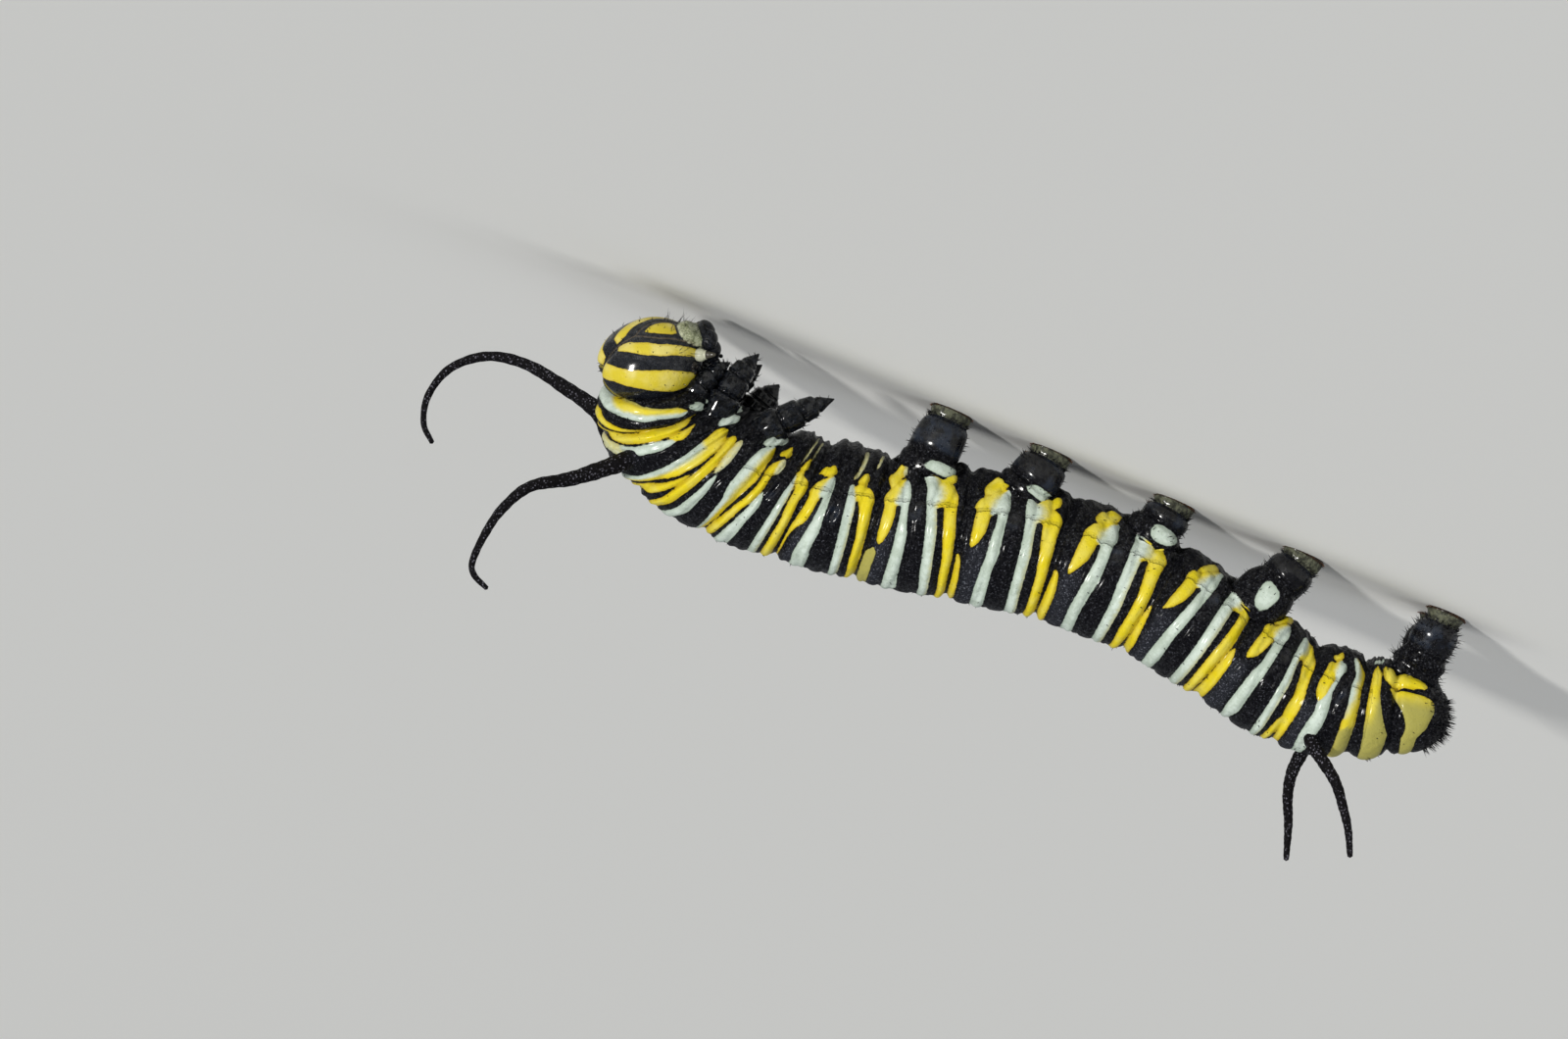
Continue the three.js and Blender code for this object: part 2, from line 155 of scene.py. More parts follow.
# Bands: tints of the two edges, then stations: angle from the back, front and rear edge as shares
yellow, cream, white = (1, 1), (0.5, 0.4), (0, 0)
yellowToWhite, whiteToYellow, whiteToCream = (1.3, -0.4), (-0.3, 1.2), (-0.15, 0.42)
# Tints above 1.12 turn olive: partly the skin's own dull colour, partly painted shade towards the back
oliveAndShade, bright = (1.5, 1.45), (1.1, 1.1)
bands = {
    "prothorax": [
        ((1.5, -0.3), (0, -0.1, 0.24), (10, -0.05, 0.25), (30, -0.02, 0.4), (60, 0.02, 0.59),
         (75, 0.2, 0.7), (90, 0.32, 0.69), (110, 0.43, 0.8), (119, 0.62, 0.72)),
        (yellow, (0, 0.42, 0.72), (12, 0.47, 0.76), (25, 0.62, 0.83), (45, 0.79, 0.95),
         (60, 0.88, 0.99), (73, 0.95, 0.98)),
        (white, (121, 0.5, 0.62), (128, 0.52, 0.8), (135, 0.5, 0.92), (140, 0.62, 0.8)),
        (white, (143, 0.55, 0.8), (155, 0.6, 0.9), (167, 0.7, 0.9)),
    ],
    "mesothorax": [
        (yellow, (0, -0.2, -0.02), (12, -0.15, 0.02), (40, -0.01, 0.2), (60, 0.02, 0.25),
         (75, -0.04, 0.29), (90, 0.02, 0.27), (110, -0.02, 0.12), (126, -0.13, -0.08)),
        (cream, (0, 0.06, 0.33), (12, 0.07, 0.35), (30, 0.18, 0.42), (45, 0.27, 0.46)),
        (white, (32, 0.2, 0.43), (50, 0.28, 0.48), (70, 0.3, 0.53), (80, 0.33, 0.5),
         (87, 0.4, 0.45)),
        (yellow, (83, 0.27, 0.4), (90, 0.26, 0.5), (100, 0.25, 0.42), (108, 0.22, 0.3),
         (115, 0.19, 0.22)),
        (whiteToYellow, (0, 0.71, 0.84), (12, 0.72, 0.86), (30, 0.8, 0.95), (60, 0.85, 1.12),
         (80, 0.84, 1.17), (103, 0.77, 1.15)),
        (yellow, (91, 0.82, 1.17), (110, 0.72, 1.1), (118, 0.7, 1.02), (124, 0.82, 0.96)),
        (yellow, (0, 0.88, 1.03), (12, 0.91, 1.06), (25, 0.98, 1.15), (40, 1.06, 1.21),
         (55, 1.14, 1.25), (67, 1.19, 1.22)),
        (white, (122, 0.58, 0.72), (130, 0.5, 0.85), (137, 0.47, 0.95), (146, 0.5, 0.88)),
        (white, (149, 0.48, 0.72), (158, 0.48, 0.8), (168, 0.56, 0.75)),
    ],
    "metathorax": [
        (yellow, (0, 0.22, 0.35), (12, 0.22, 0.36), (30, 0.26, 0.41), (60, 0.25, 0.41),
         (80, 0.22, 0.39), (95, 0.19, 0.32), (110, 0.1, 0.27), (119, 0.1, 0.2)),
        (white, (0, 0.42, 0.58), (12, 0.45, 0.6), (30, 0.5, 0.66), (60, 0.49, 0.61),
         (72, 0.47, 0.56), (80, 0.48, 0.5)),
        (cream, (79, 0.42, 0.47), (88, 0.37, 0.5), (100, 0.3, 0.46), (115, 0.27, 0.38),
         (118, 0.3, 0.34)),
        (whiteToYellow, (0, 0.9, 0.97), (30, 0.9, 0.99), (60, 0.85, 1.01), (75, 0.75, 1.04),
         (90, 0.71, 1.07), (105, 0.68, 1.02), (118, 0.7, 1.0), (125, 0.84, 0.97)),
        (white, (121, 0.66, 0.75), (130, 0.65, 0.92), (138, 0.7, 1.05), (148, 0.72, 1.03),
         (155, 0.76, 0.85)),
    ],
    "abdomen_1": [
        (yellow, (0, 0, 0.11), (30, 0.01, 0.14), (60, 0.06, 0.19), (70, 0.1, 0.25),
         (85, 0.13, 0.28), (95, 0.1, 0.24), (105, 0.06, 0.22), (113, 0.1, 0.2)),
        (cream, (98, 0.22, 0.3), (104, 0.16, 0.36), (112, 0.14, 0.34), (116, 0.2, 0.3)),
        (white, (0, 0.17, 0.36), (30, 0.19, 0.38), (50, 0.22, 0.38), (65, 0.25, 0.41),
         (75, 0.27, 0.38), (81, 0.29, 0.31)),
        (whiteToCream, (0, 0.64, 0.76), (60, 0.63, 0.76), (85, 0.62, 0.75), (95, 0.64, 0.73),
         (106, 0.65, 0.7)),
        (yellow, (0, 0.81, 0.95), (60, 0.82, 0.96), (82, 0.78, 0.94), (90, 0.79, 0.97),
         (100, 0.7, 0.97), (105, 0.64, 0.85), (109, 0.65, 0.72)),
        (yellow, (109, 0.64, 0.8), (115, 0.67, 0.82), (125, 0.74, 0.79)),
        (yellow, (118, 0.06, 0.33), (123, 0.06, 0.33), (128, 0.1, 0.27), (132, 0.17, 0.22)),
        (cream, (116, 0.6, 0.63), (130, 0.62, 0.68), (150, 0.64, 0.7), (166, 0.66, 0.71)),
        (cream, (126, 0.78, 0.82), (140, 0.78, 0.83), (160, 0.8, 0.86)),
    ],
    "abdomen_2": [
        (yellow, (0, 0, 0.03), (45, 0, 0.04), (56, 0, 0.08), (65, 0.02, 0.17), (75, 0.04, 0.2),
         (88, 0.05, 0.21), (102, 0.04, 0.24)),
        (yellowToWhite, (89, 0.04, 0.22), (95, 0.02, 0.35), (102, 0.05, 0.35), (108, 0.13, 0.33),
         (112, 0.24, 0.32)),
        (white, (0, 0.2, 0.4), (12, 0.21, 0.4), (30, 0.19, 0.4), (40, 0.2, 0.38),
         (60, 0.23, 0.41), (70, 0.25, 0.39), (95, 0.26, 0.36), (111, 0.28, 0.32)),
        (whiteToCream, (0, 0.7, 0.8), (15, 0.7, 0.81), (40, 0.68, 0.8), (60, 0.65, 0.78),
         (85, 0.6, 0.74), (100, 0.57, 0.7), (109, 0.55, 0.63)),
        (yellow, (0, 0.9, 1), (20, 0.9, 1), (40, 0.88, 1), (60, 0.87, 0.99), (80, 0.82, 0.97),
         (92, 0.77, 0.95), (100, 0.67, 0.95), (107, 0.62, 0.88), (111, 0.64, 0.8)),
        (yellow, (111, 0.62, 0.79), (118, 0.68, 0.8), (123, 0.71, 0.78)),
        (cream, (113, 0.56, 0.6), (125, 0.6, 0.67), (140, 0.61, 0.68), (160, 0.6, 0.67)),
        (cream, (130, 0.83, 0.87), (142, 0.84, 0.89), (158, 0.86, 0.9)),
        (yellow, (111, 0.03, 0.2), (114, 0.02, 0.32), (120, 0.06, 0.3), (124, 0.14, 0.28)),
    ],
    "abdomen_3": [
        # The front band's dorsal patch is olive: painted shade on the back
        (oliveAndShade, (0, 0.03, 0.15), (40, 0.03, 0.15), (52, 0.04, 0.16), (57, 0.08, 0.14)),
        (yellow, (60, 0.13, 0.17), (70, 0.1, 0.22), (80, 0.1, 0.24), (90, 0.09, 0.24),
         (98, 0.08, 0.22), (110, 0.06, 0.26)),
        (yellowToWhite, (96, 0.08, 0.24), (102, 0.05, 0.37), (110, 0.08, 0.36), (116, 0.14, 0.34),
         (125, 0.24, 0.3)),
        (white, (0, 0.31, 0.45), (12, 0.31, 0.47), (30, 0.31, 0.45), (60, 0.31, 0.44),
         (75, 0.3, 0.43), (82, 0.3, 0.4), (95, 0.28, 0.37), (108, 0.28, 0.36)),
        (whiteToCream, (0, 0.69, 0.79), (20, 0.69, 0.79), (40, 0.66, 0.78), (60, 0.64, 0.76),
         (80, 0.61, 0.74), (90, 0.59, 0.71), (108, 0.54, 0.66)),
        (whiteToYellow, (101, 0.56, 0.68), (107, 0.54, 0.88), (115, 0.53, 0.89), (122, 0.5, 0.86),
         (130, 0.46, 0.75), (134, 0.47, 0.6)),
        (yellow, (0, 0.87, 0.97), (20, 0.88, 0.97), (40, 0.86, 0.96), (60, 0.85, 0.96),
         (80, 0.8, 0.94), (90, 0.78, 0.92), (100, 0.76, 0.9), (117, 0.73, 0.89)),
        (yellow, (112, 0.1, 0.14), (120, 0.05, 0.2), (128, 0.03, 0.2), (140, 0.14, 0.2)),
        (cream, (126, 0.18, 0.25), (132, 0.18, 0.25), (139, 0.17, 0.23)),
        (yellow, (126, 0.72, 0.82), (131, 0.68, 0.84), (136, 0.74, 0.84), (141, 0.8, 0.84)),
    ],
    "abdomen_4": [
        (yellow, (0, 0, 0.07), (12, 0, 0.08), (40, 0, 0.075), (58, 0, 0.06), (65, -0.02, 0.03)),
        (yellow, (73, 0.11, 0.14), (80, 0.1, 0.2), (90, 0.1, 0.25), (100, 0.1, 0.26),
         (118, 0.12, 0.28)),
        (yellowToWhite, (105, 0.1, 0.28), (111, 0.07, 0.44), (118, 0.12, 0.44), (126, 0.25, 0.42),
         (133, 0.35, 0.42)),
        (white, (0, 0.26, 0.4), (12, 0.26, 0.41), (40, 0.26, 0.4), (60, 0.28, 0.4),
         (68, 0.3, 0.43), (85, 0.31, 0.43), (100, 0.33, 0.43), (114, 0.32, 0.43)),
        (whiteToCream, (0, 0.65, 0.77), (12, 0.65, 0.78), (40, 0.64, 0.76), (80, 0.63, 0.75),
         (95, 0.62, 0.73), (114, 0.6, 0.72)),
        (whiteToYellow, (107, 0.6, 0.73), (113, 0.59, 0.96), (120, 0.58, 0.94), (126, 0.58, 0.86),
         (133, 0.6, 0.73)),
        (yellow, (0, 0.86, 0.98), (20, 0.87, 0.98), (60, 0.86, 0.97), (80, 0.83, 0.96),
         (100, 0.79, 0.95), (121, 0.77, 0.96)),
        (yellow, (122, 0.15, 0.2), (130, 0.14, 0.33), (137, 0.16, 0.39), (144, 0.22, 0.4)),
        (yellow, (126, 0.8, 0.88), (131, 0.72, 0.9), (137, 0.77, 0.91), (143, 0.84, 0.9)),
    ],
    "abdomen_5": [
        (yellow, (0, 0.01, 0.1), (12, 0, 0.1), (50, 0.01, 0.11), (65, 0.02, 0.09),
         (73, 0.02, 0.06)),
        (yellow, (72, 0.15, 0.17), (80, 0.14, 0.23), (90, 0.15, 0.29), (100, 0.16, 0.31),
         (120, 0.18, 0.33)),
        (yellowToWhite, (107, 0.18, 0.34), (113, 0.17, 0.47), (122, 0.19, 0.47), (130, 0.3, 0.45),
         (138, 0.41, 0.45)),
        (white, (0, 0.29, 0.42), (40, 0.29, 0.41), (60, 0.31, 0.43), (75, 0.33, 0.46),
         (90, 0.35, 0.46), (116, 0.35, 0.45)),
        (whiteToCream, (0, 0.64, 0.75), (60, 0.64, 0.76), (80, 0.62, 0.74), (100, 0.61, 0.73),
         (116, 0.6, 0.72)),
        (whiteToYellow, (109, 0.61, 0.73), (115, 0.6, 0.95), (122, 0.6, 0.93), (130, 0.59, 0.84),
         (142, 0.6, 0.66)),
        (yellow, (0, 0.84, 0.94), (20, 0.85, 0.95), (40, 0.84, 0.97), (60, 0.85, 0.975),
         (80, 0.84, 0.97), (100, 0.8, 0.94), (124, 0.77, 0.94)),
        (yellow, (127, 0.23, 0.27), (135, 0.22, 0.4), (145, 0.26, 0.43), (154, 0.34, 0.42)),
        (yellow, (130, 0.82, 0.88), (138, 0.7, 0.9), (145, 0.68, 0.9), (152, 0.8, 0.88)),
    ],
    "abdomen_6": [
        (yellow, (0, -0.02, 0.07), (30, -0.02, 0.08), (60, -0.02, 0.05), (76, 0, 0.03)),
        (yellow, (78, 0.11, 0.13), (85, 0.13, 0.22), (95, 0.14, 0.28), (105, 0.16, 0.31),
         (126, 0.19, 0.32)),
        (yellowToWhite, (113, 0.18, 0.34), (119, 0.16, 0.48), (126, 0.17, 0.49), (135, 0.3, 0.48),
         (145, 0.38, 0.48), (152, 0.43, 0.47)),
        (white, (0, 0.25, 0.38), (30, 0.25, 0.41), (60, 0.28, 0.41), (75, 0.3, 0.43),
         (90, 0.33, 0.45), (110, 0.36, 0.47), (122, 0.37, 0.48)),
        (whiteToCream, (0, 0.63, 0.75), (30, 0.64, 0.77), (60, 0.65, 0.78), (90, 0.64, 0.78),
         (110, 0.63, 0.77), (126, 0.63, 0.76)),
        (yellow, (0, 0.82, 0.92), (30, 0.83, 0.94), (60, 0.84, 0.97), (90, 0.86, 1),
         (110, 0.86, 0.98), (133, 0.84, 0.97)),
        (whiteToYellow, (119, 0.64, 0.78), (125, 0.63, 0.98), (135, 0.64, 0.95), (145, 0.65, 0.92),
         (153, 0.67, 0.8)),
        (yellow, (132, 0.22, 0.26), (140, 0.25, 0.36), (150, 0.28, 0.42), (158, 0.32, 0.4)),
    ],
    "abdomen_7": [
        (yellow, (0, -0.06, 0.07), (12, -0.06, 0.08), (40, -0.03, 0.1), (70, -0.01, 0.1),
         (80, 0, 0.08), (88, 0.02, 0.04)),
        (yellow, (86, 0.18, 0.22), (92, 0.17, 0.29), (105, 0.17, 0.34), (131, 0.19, 0.38)),
        (yellowToWhite, (118, 0.18, 0.38), (124, 0.17, 0.51), (131, 0.17, 0.51), (140, 0.32, 0.5),
         (148, 0.43, 0.48)),
        (white, (0, 0.33, 0.43), (12, 0.33, 0.44), (30, 0.32, 0.48), (60, 0.33, 0.48),
         (75, 0.34, 0.49), (90, 0.375, 0.5), (126, 0.38, 0.5)),
        (whiteToCream, (0, 0.7, 0.78), (30, 0.7, 0.81), (60, 0.71, 0.82), (90, 0.71, 0.83),
         (105, 0.7, 0.8), (122, 0.69, 0.78)),
        (yellow, (0, 0.83, 0.91), (12, 0.84, 0.93), (25, 0.86, 0.95), (40, 0.88, 0.98),
         (52, 0.9, 1.04)),
        (yellow, (0, 0.97, 1.05), (25, 0.97, 1.06), (50, 0.93, 1.08), (65, 0.92, 1.1),
         (80, 0.94, 1.1), (100, 0.9, 1.06), (120, 0.84, 1.05), (135, 0.78, 1.0)),
        (whiteToYellow, (115, 0.7, 0.8), (121, 0.7, 0.88), (130, 0.69, 1.0), (140, 0.7, 0.93),
         (150, 0.7, 0.85)),
        (yellow, (138, 0.22, 0.26), (146, 0.24, 0.4), (155, 0.27, 0.46), (168, 0.3, 0.46)),
    ],
    "abdomen_8": [
        (white, (0, 0.23, 0.37), (12, 0.24, 0.38), (30, 0.23, 0.41), (45, 0.23, 0.43),
         (58, 0.25, 0.47), (70, 0.29, 0.48), (82, 0.28, 0.47), (95, 0.36, 0.44),
         (105, 0.4, 0.47), (115, 0.45, 0.5)),
        (yellow, (83, 0.27, 0.32), (90, 0.21, 0.38), (100, 0.18, 0.38), (110, 0.2, 0.42),
         (122, 0.22, 0.46)),
        (yellowToWhite, (111, 0.22, 0.46), (117, 0.23, 0.53), (125, 0.22, 0.57), (131, 0.24, 0.57),
         (134, 0.3, 0.52)),
        (yellow, (135, 0.25, 0.46), (141, 0.27, 0.46), (148, 0.34, 0.42)),
        (bright, (0, 0.69, 0.92), (12, 0.7, 0.93), (50, 0.71, 0.94), (70, 0.72, 0.94)),
        ((0.3, 0.8), (55, 0.71, 0.94), (80, 0.73, 0.95), (96, 0.74, 0.94)),
        ((0, 0.9), (85, 0.74, 0.94), (105, 0.71, 0.93), (120, 0.75, 0.96), (130, 0.7, 0.95),
         (140, 0.66, 0.82), (147, 0.64, 0.7)),
    ],
    "abdomen_9": [
        (bright, (0, 0.2, 0.8), (25, 0.18, 0.82), (50, 0.16, 0.88), (60, 0.14, 0.8),
         (70, 0.13, 0.69), (80, 0.11, 0.6), (90, 0.1, 0.52), (100, 0.1, 0.44), (130, 0.13, 0.44),
         (141, 0.22, 0.33)),
        (white, (145, 0.12, 0.3), (152, 0.16, 0.55), (159, 0.3, 0.6)),
    ],
    "anal_segment": [
        (bright, (0, 0.22, 0.42), (45, 0.18, 0.45), (60, 0.24, 0.6), (74, 0.2, 0.66),
         (88, 0.1, 0.72), (98, -0.03, 0.72), (106, -0.17, 0.7), (111, -0.25, 0.6), (114, -0.28, -0.1)),
        (bright, (115, -0.3, 0.3), (119, -0.42, 0.52), (126, -0.5, 0.58), (134, -0.54, 0.5),
         (139, -0.5, 0.2), (143, -0.4, -0.15)),
    ],
}
bandLook = {"roundEnd": 4.0, "blur": 2.4, "blurReach": 9, "merge": 0.03, "most": 0.6}
# The fold along the side: places on the trunk and its angle there
foldAngles = [(2.5, 96), (3.5, 97), (4.5, 100), (5.5, 103), (6.5, 110), (7.5, 112), (8.5, 119),
              (9.5, 120), (10.5, 108), (11.3, 104)]
# Towards the middle of the back the collar is whiter, and the last plates are more olive: painted shade
# on their back
tintAndShadeShifts = [(-1, 0.4, 55, 12, -1.1), (10.65, 11.35, 96, 48, 0.4), (11.35, 14, 118, 84, 0.38)]
# Swellings under the belly: place, length and height
mounds = [(3.35, 0.24, 0.1), (4.27, 0.25, 0.17), (9.45, 0.25, 0.1), (10.4, 0.28, 0.08)]
# Breathing holes: place, angle and size
air = [(0.93, 97, 0.8), (3.46, 85, 1), (4.49, 80, 1), (5.46, 95, 0.8), (6.5, 104, 0.8),
       (7.505, 103, 0.8), (8.525, 113, 0.8), (9.59, 110, 0.85), (10.58, 93, 1)]


# How far each point lies inside a band's edges, in millimetres, and how far across it lies
def bandDistance(stations, start, s, angle, perSegment, perDegree):
    at = np.array(stations, float)
    steps = np.arange(-8.0, 190.0, 1.0)
    reach = bandLook["blurReach"]
    blur = bell(np.arange(-reach, reach + 1), bandLook["blur"])
    blur /= blur.sum()
    front, rear = (
        np.convolve(np.pad(np.interp(steps, at[:, 0], at[:, edge]), reach, "edge"), blur, "valid")
        for edge in (1, 2))
    first, last = at[0, 0], at[-1, 0]
    near = np.ones_like(steps)
    if first > 0:
        near *= rounded((steps - first) / bandLook["roundEnd"])
    if last < 180:
        near *= rounded((last - steps) / bandLook["roundEnd"])
    middle, half = (front + rear) / 2, (rear - front) / 2 * near
    share = s - start
    front = np.interp(angle, steps, middle - half)
    rear = np.interp(angle, steps, middle + half)
    inside = np.minimum(share - front, rear - share) * perSegment
    if first > 0:
        inside = np.minimum(inside, (angle - first) * perDegree)
    if last < 180:
        inside = np.minimum(inside, (last - angle) * perDegree)
    return inside, np.clip((share - front) / np.maximum(rear - front, 0.01), 0, 1)


# Signed distance to the pale bands, and their tint from white over yellow to olive
def paintBands(s, angle):
    angle = np.abs(angle)
    nudge = 0.01
    ahead, behind = trunkPoints(s + nudge, angle), trunkPoints(s - nudge, angle)
    perSegment = np.linalg.norm(ahead - behind, axis=-1) / (2 * nudge)
    perDegree = np.radians(1) * (along("tall", s) + along("wide", s)) / 2
    total = np.full(s.shape, 1e-9)
    tinted = np.zeros(s.shape)
    most = bandLook["most"]
    for start, name in enumerate(trunkNodes):
        chosen = np.abs(s - start - 0.5) < 1.2
        for tint, *stations in bands[name]:
            inside, across = bandDistance(
                stations, start, s[chosen], angle[chosen], perSegment[chosen], perDegree[chosen])
            weight = np.exp(np.clip(inside, -2 * most, 2 * most) / bandLook["merge"])
            total[chosen] += weight
            tinted[chosen] += weight * (tint[0] + (tint[1] - tint[0]) * across)
    tint = tinted / total
    # Shifts of tint: a whiter collar, and painted olive shade on the back of the last plates
    for first, last, side, back, shift in tintAndShadeShifts:
        near = softStep(s, first - 0.2, first + 0.2) * softStep(s, last + 0.2, last - 0.2)
        tint = tint + shift * near * softStep(angle, side, back)
    return np.clip(bandLook["merge"] * np.log(total), -most, most), np.clip(tint, 0, 1.6)


# The skin's relief: lengths and heights in millimetres, angles in degrees
relief = {
    "borderLong": 0.17, "insideLong": 0.1, "wander": 0.035, "bandHigh": 0.085, "blackHigh": 0.06,
    "bandEdge": 0.09, "sunk": 0.035, "airLong": 0.085, "airTall": 9, "airRim": 0.065, "airPit": 0.09,
    "folds": 0.035, "fineFolds": 0.03, "lobeHigh": 0.1, "lobeAngle": 127, "lobeTall": 9,
    "plateCrease": 0.16, "plateAngle": 114.5, "plateTall": 2.2,
}


def airDistance(s, angle, hole):
    at, turn, big = hole
    return np.hypot((s - at) / relief["airLong"], (angle - turn) / relief["airTall"]) / big


# Creases between and within the segments, the swell of each band and the breathing holes
def trunkRelief(s, angle, pale):
    angle = np.abs(angle)
    side = 0.75 + 0.55 / (1 + np.exp(-(angle - 95) / 9))
    belly = softStep(angle, 124, 150)
    raised = trunk["ridge"] + trunk["swell"] * np.sin(np.pi * (s % 1))
    size = np.linalg.norm(np.diff(trunkFrame(np.arange(0, 14.0))[0], axis=0), axis=-1)
    for i, inner in enumerate(creases):
        for share in (0.0,) + inner:
            wander = relief["wander"] * np.sin(angle / 17 + 1.7 * i + 5 * share) * (share > 0)
            apart = (s - i - share - wander) * size[min(i, len(size) - 1)]
            if share == 0:
                raised -= trunk["borderCrease"] * bell(apart, relief["borderLong"])
            else:
                deep = trunk["insideCrease"] * side * (1 - 0.6 * belly)
                raised -= deep * bell(apart, relief["insideLong"])
    high = np.where(pale > 0, relief["bandHigh"], relief["blackHigh"])
    raised += high * (1 - np.exp(-np.abs(pale) / relief["bandEdge"])) - relief["sunk"]
    for hole in air:
        far = airDistance(s, angle, hole)
        raised += relief["airRim"] * bell(far - 0.95, 0.3) - relief["airPit"] * bell(far, 0.5)
    lobe = softStep(s, 11.6, 11.8) * softStep(s, 12.75, 12.5)
    folds = softStep(angle, 100, 128) * (1 - 0.85 * lobe)
    wander = 1.6 * np.sin(s * 3.1) + 1.1 * np.sin(angle / 9 + s * 1.7)
    raised += (relief["folds"] * folds * np.sin(s * 21 + wander)
               + relief["fineFolds"] * folds * np.sin(s * 33 + angle / 6 - 2 * wander))
    for at, long, high in mounds:
        raised += high * belly * bell(s - at, long, 4)
    # The lobe beside each anal proleg is parted from the plate above it by a crease
    raised += lobe * (relief["lobeHigh"] * bell(angle - relief["lobeAngle"], relief["lobeTall"])
                      - relief["plateCrease"] * bell(angle - relief["plateAngle"], relief["plateTall"]))
    return raised


# Prolegs: drawn out of the skin, so that no seam parts them from the body

# Profiles: shares of the way down, and how far the wall is set in there
footProfile = [(0.75, 0.03), (0.8, -0.02), (0.88, -0.05), (0.93, -0.06), (0.96, -0.09), (0.985, -0.05),
               (1, 0.04)]
proleg = {"angle": 156, "rootAngle": 147, "long": 1.12, "thick": 0.9, "soleLong": 0.8,
          "soleThick": 0.58, "spread": 1.3, "acrossLong": 1.12, "acrossAngle": 19, "sole": 0.36,
          "rings": 40, "blend": 1.42, "shield": 0.27, "sunk": 0.35, "ankleOut": 1.08,
          "ankleHigh": 0.75, "drawn": 0.75, "hollow": 0.12, "profile": [
              (0, 0), (0.05, -0.07), (0.12, -0.12), (0.18, -0.09), (0.22, 0.06), (0.245, 0.08),
              (0.28, -0.04), (0.36, -0.1), (0.5, -0.13), (0.62, -0.13), (0.68, -0.1), (0.72, -0.01),
              *footProfile]}
longRoll = [
    (0, 0), (0.06, -0.05), (0.14, -0.1), (0.24, -0.13), (0.34, -0.08), (0.4, 0.05), (0.43, 0.06),
    (0.48, -0.05), (0.58, -0.11), (0.68, -0.08), (0.72, 0), *footProfile]
# Each patch: place down, height, place towards the rear, length, skew and taper
prolegs = [{**proleg, **pair} for pair in (
    {"name": "proleg_3", "at": 5.45, "foot": -7.8, "size": 1, "patch": (0.13, 0.065, 0.5, 0.6, 2, 0)},
    {"name": "proleg_4", "at": 6.52, "foot": -11.95, "size": 1, "patch": (0.2, 0.085, 0.5, 0.5, 2, 0)},
    {"name": "proleg_5", "at": 7.7, "foot": -17.1, "size": 1, "shield": 0.46, "profile": longRoll,
     "patch": (0.27, 0.14, 0.3, 0.48, 0.8, 0.3)},
    {"name": "proleg_6", "at": 8.88, "foot": -22.5, "size": 1, "shield": 0.46, "profile": longRoll,
     "patch": (0.21, 0.13, 0.08, 0.36, -0.7, 0.2)},
    {"name": "anal_proleg", "at": 12.3, "foot": -28.45, "size": 0.92, "angle": 162.5,
     "blend": 1.1, "thick": 0.6, "rootAngle": 157, "shield": 0.36, "acrossAngle": 17, "profile": [
         (0, 0), (0.06, -0.07), (0.12, 0), (0.15, 0.07), (0.22, -0.08), (0.29, 0.02), (0.33, 0.07),
         (0.42, -0.08), (0.55, -0.12), (0.66, -0.08), (0.73, 0.05), (0.77, 0.1), (0.82, 0.04),
         (0.9, -0.03), (0.95, -0.1), (0.98, -0.08), (1, 0.03)]},
)]
prolegSides = [(pair, side) for pair in prolegs for side in (1, -1)]


def bezier(a, b, c, t):
    t = np.asarray(t)[..., None]
    return a * (1 - t) ** 2 + 2 * b * t * (1 - t) + c * t**2, 2 * (b - a) * (1 - t) + 2 * (c - b) * t


# Half the length of a proleg's rim along the trunk, in segments
def prolegLong(pair):
    step = 0.05
    places = np.array([pair["at"] - step, pair["at"] + step])
    here = trunkPoints(places, np.array([150.0, 150.0]))
    return pair["acrossLong"] * pair["size"] * (2 * step) / np.linalg.norm(here[1] - here[0])


# How far each point of the skin lies from a proleg's middle, 1 at its rim, and which way
def prolegPlace(s, angle, pair, side):
    outer = angle * side
    outer = np.where(outer < -90, outer + 360, outer)
    backwards = (s - pair["at"]) / prolegLong(pair)
    inwards = (outer - pair["angle"]) / pair["acrossAngle"]
    return np.hypot(backwards, inwards), np.arctan2(inwards, backwards)


def prolegSkin(far, turn, pair, side):
    angle = pair["angle"] + far * np.sin(turn) * pair["acrossAngle"]
    angle = np.where(angle > 180, angle - 360, angle) * side
    return pair["at"] + far * np.cos(turn) * prolegLong(pair), angle


def prolegDown(far):
    return np.clip((1 - far) / (1 - proleg["sole"]), 0, 1)


